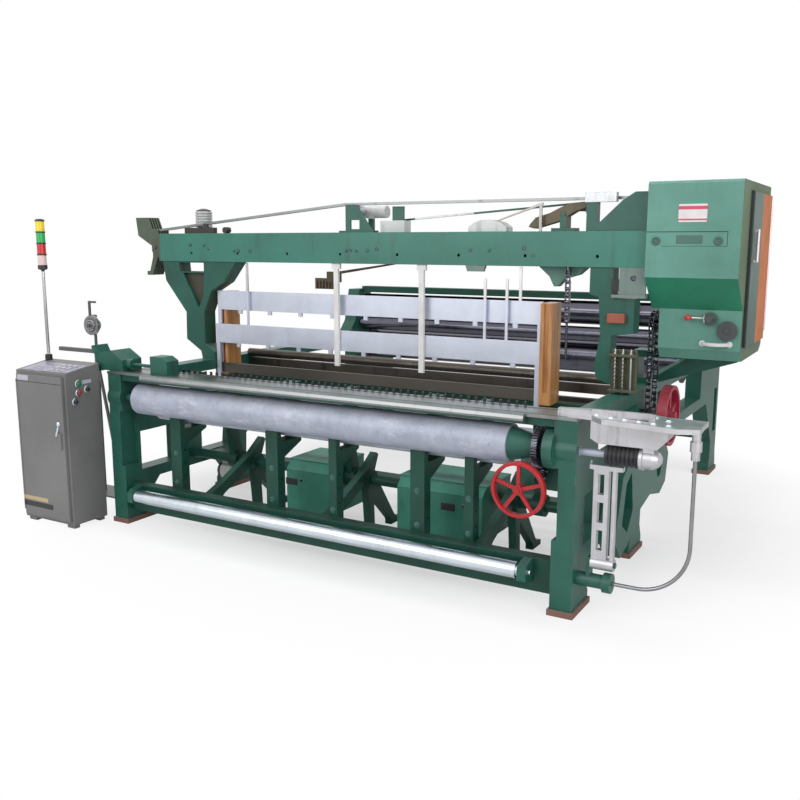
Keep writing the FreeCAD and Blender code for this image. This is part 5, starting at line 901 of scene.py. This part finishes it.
def paleFloor():
    material, tree, shader = blankMaterial("paleFloor")
    shader.inputs["Base Color"].default_value = rgba(floorLook["colour"])
    shader.inputs["Roughness"].default_value = floorLook["rough"]
    glow = put(tree, "Emission", {"Color": rgba(white), "Strength": 1.0}).outputs[0]
    place = put(tree, "TexCoord").outputs["Object"]
    away = put(tree, "VectorMath", {0: place}, operation="LENGTH").outputs["Value"]
    share = remap(tree, away, floorLook["near"], floorLook["far"], floorLook["nearGlow"],
                  floorLook["farGlow"])
    seen = calc(tree, "MULTIPLY", put(tree, "LightPath").outputs["Is Camera Ray"], share)
    blend = put(tree, "MixShader", {0: seen, 1: shader.outputs[0], 2: glow}).outputs[0]
    tree.links.new(blend, tree.nodes["Material Output"].inputs[0])
    return material


half = floorLook["half"]
floorMesh = bpy.data.meshes.new("floor")
floorMesh.from_pydata([(-half, -half, 0), (half, -half, 0), (half, half, 0), (-half, half, 0)],
                      [], [(0, 1, 2, 3)])
floorMesh.materials.append(paleFloor())
floor = bpy.data.objects.new("floor", floorMesh)
bpy.context.scene.collection.objects.link(floor)

# Soft studio light: a broad key lamp and a fill turned to the loom, and a strip above that points
# straight down and is left out of reflections.
lampAim = Vector((0.0, -0.4, 0.7))
lamps = {
    "key": {"place": (-2.2, -6.6, 3.7), "size": (4.5, 4.5), "watts": 176.0, "strip": False},
    "fill": {"place": (5.0, -4.0, 2.8), "size": (3.5, 3.5), "watts": 122.0, "strip": False},
    "above": {"place": (-0.6, -0.9, 5.2), "size": (5.0, 0.7), "watts": 115.0, "strip": True},
}
for name, look in lamps.items():
    data = bpy.data.lights.new(name, "AREA")
    data.shape = "RECTANGLE"
    data.size, data.size_y = look["size"]
    data.energy = look["watts"]
    lamp = bpy.data.objects.new(name, data)
    lamp.location = look["place"]
    if not look["strip"]:
        toLoom = lampAim - Vector(look["place"])
        lamp.rotation_euler = toLoom.to_track_quat("-Z", "Y").to_euler()
    lamp.visible_glossy = not look["strip"]
    bpy.context.scene.collection.objects.link(lamp)

# The sky is white where it is seen, also in a reflection, and dimmer as a light.
sky = {"asLight": 0.44, "seen": 1.0}
world = bpy.data.worlds.new("studio")
world.use_nodes = True
bpy.context.scene.world = world
skyTree = world.node_tree
background = skyTree.nodes["Background"]
rays = put(skyTree, "LightPath").outputs
seen = calc(skyTree, "MAXIMUM", rays["Is Camera Ray"], rays["Is Glossy Ray"])
seen = calc(skyTree, "MAXIMUM", seen, rays["Is Transmission Ray"])
background.inputs["Color"].default_value = rgba(white)
strength = remap(skyTree, seen, 0.0, 1.0, sky["asLight"], sky["seen"])
skyTree.links.new(strength, background.inputs["Strength"])
bpy.context.scene.view_settings.view_transform = "Standard"
print("stage and lamps set")
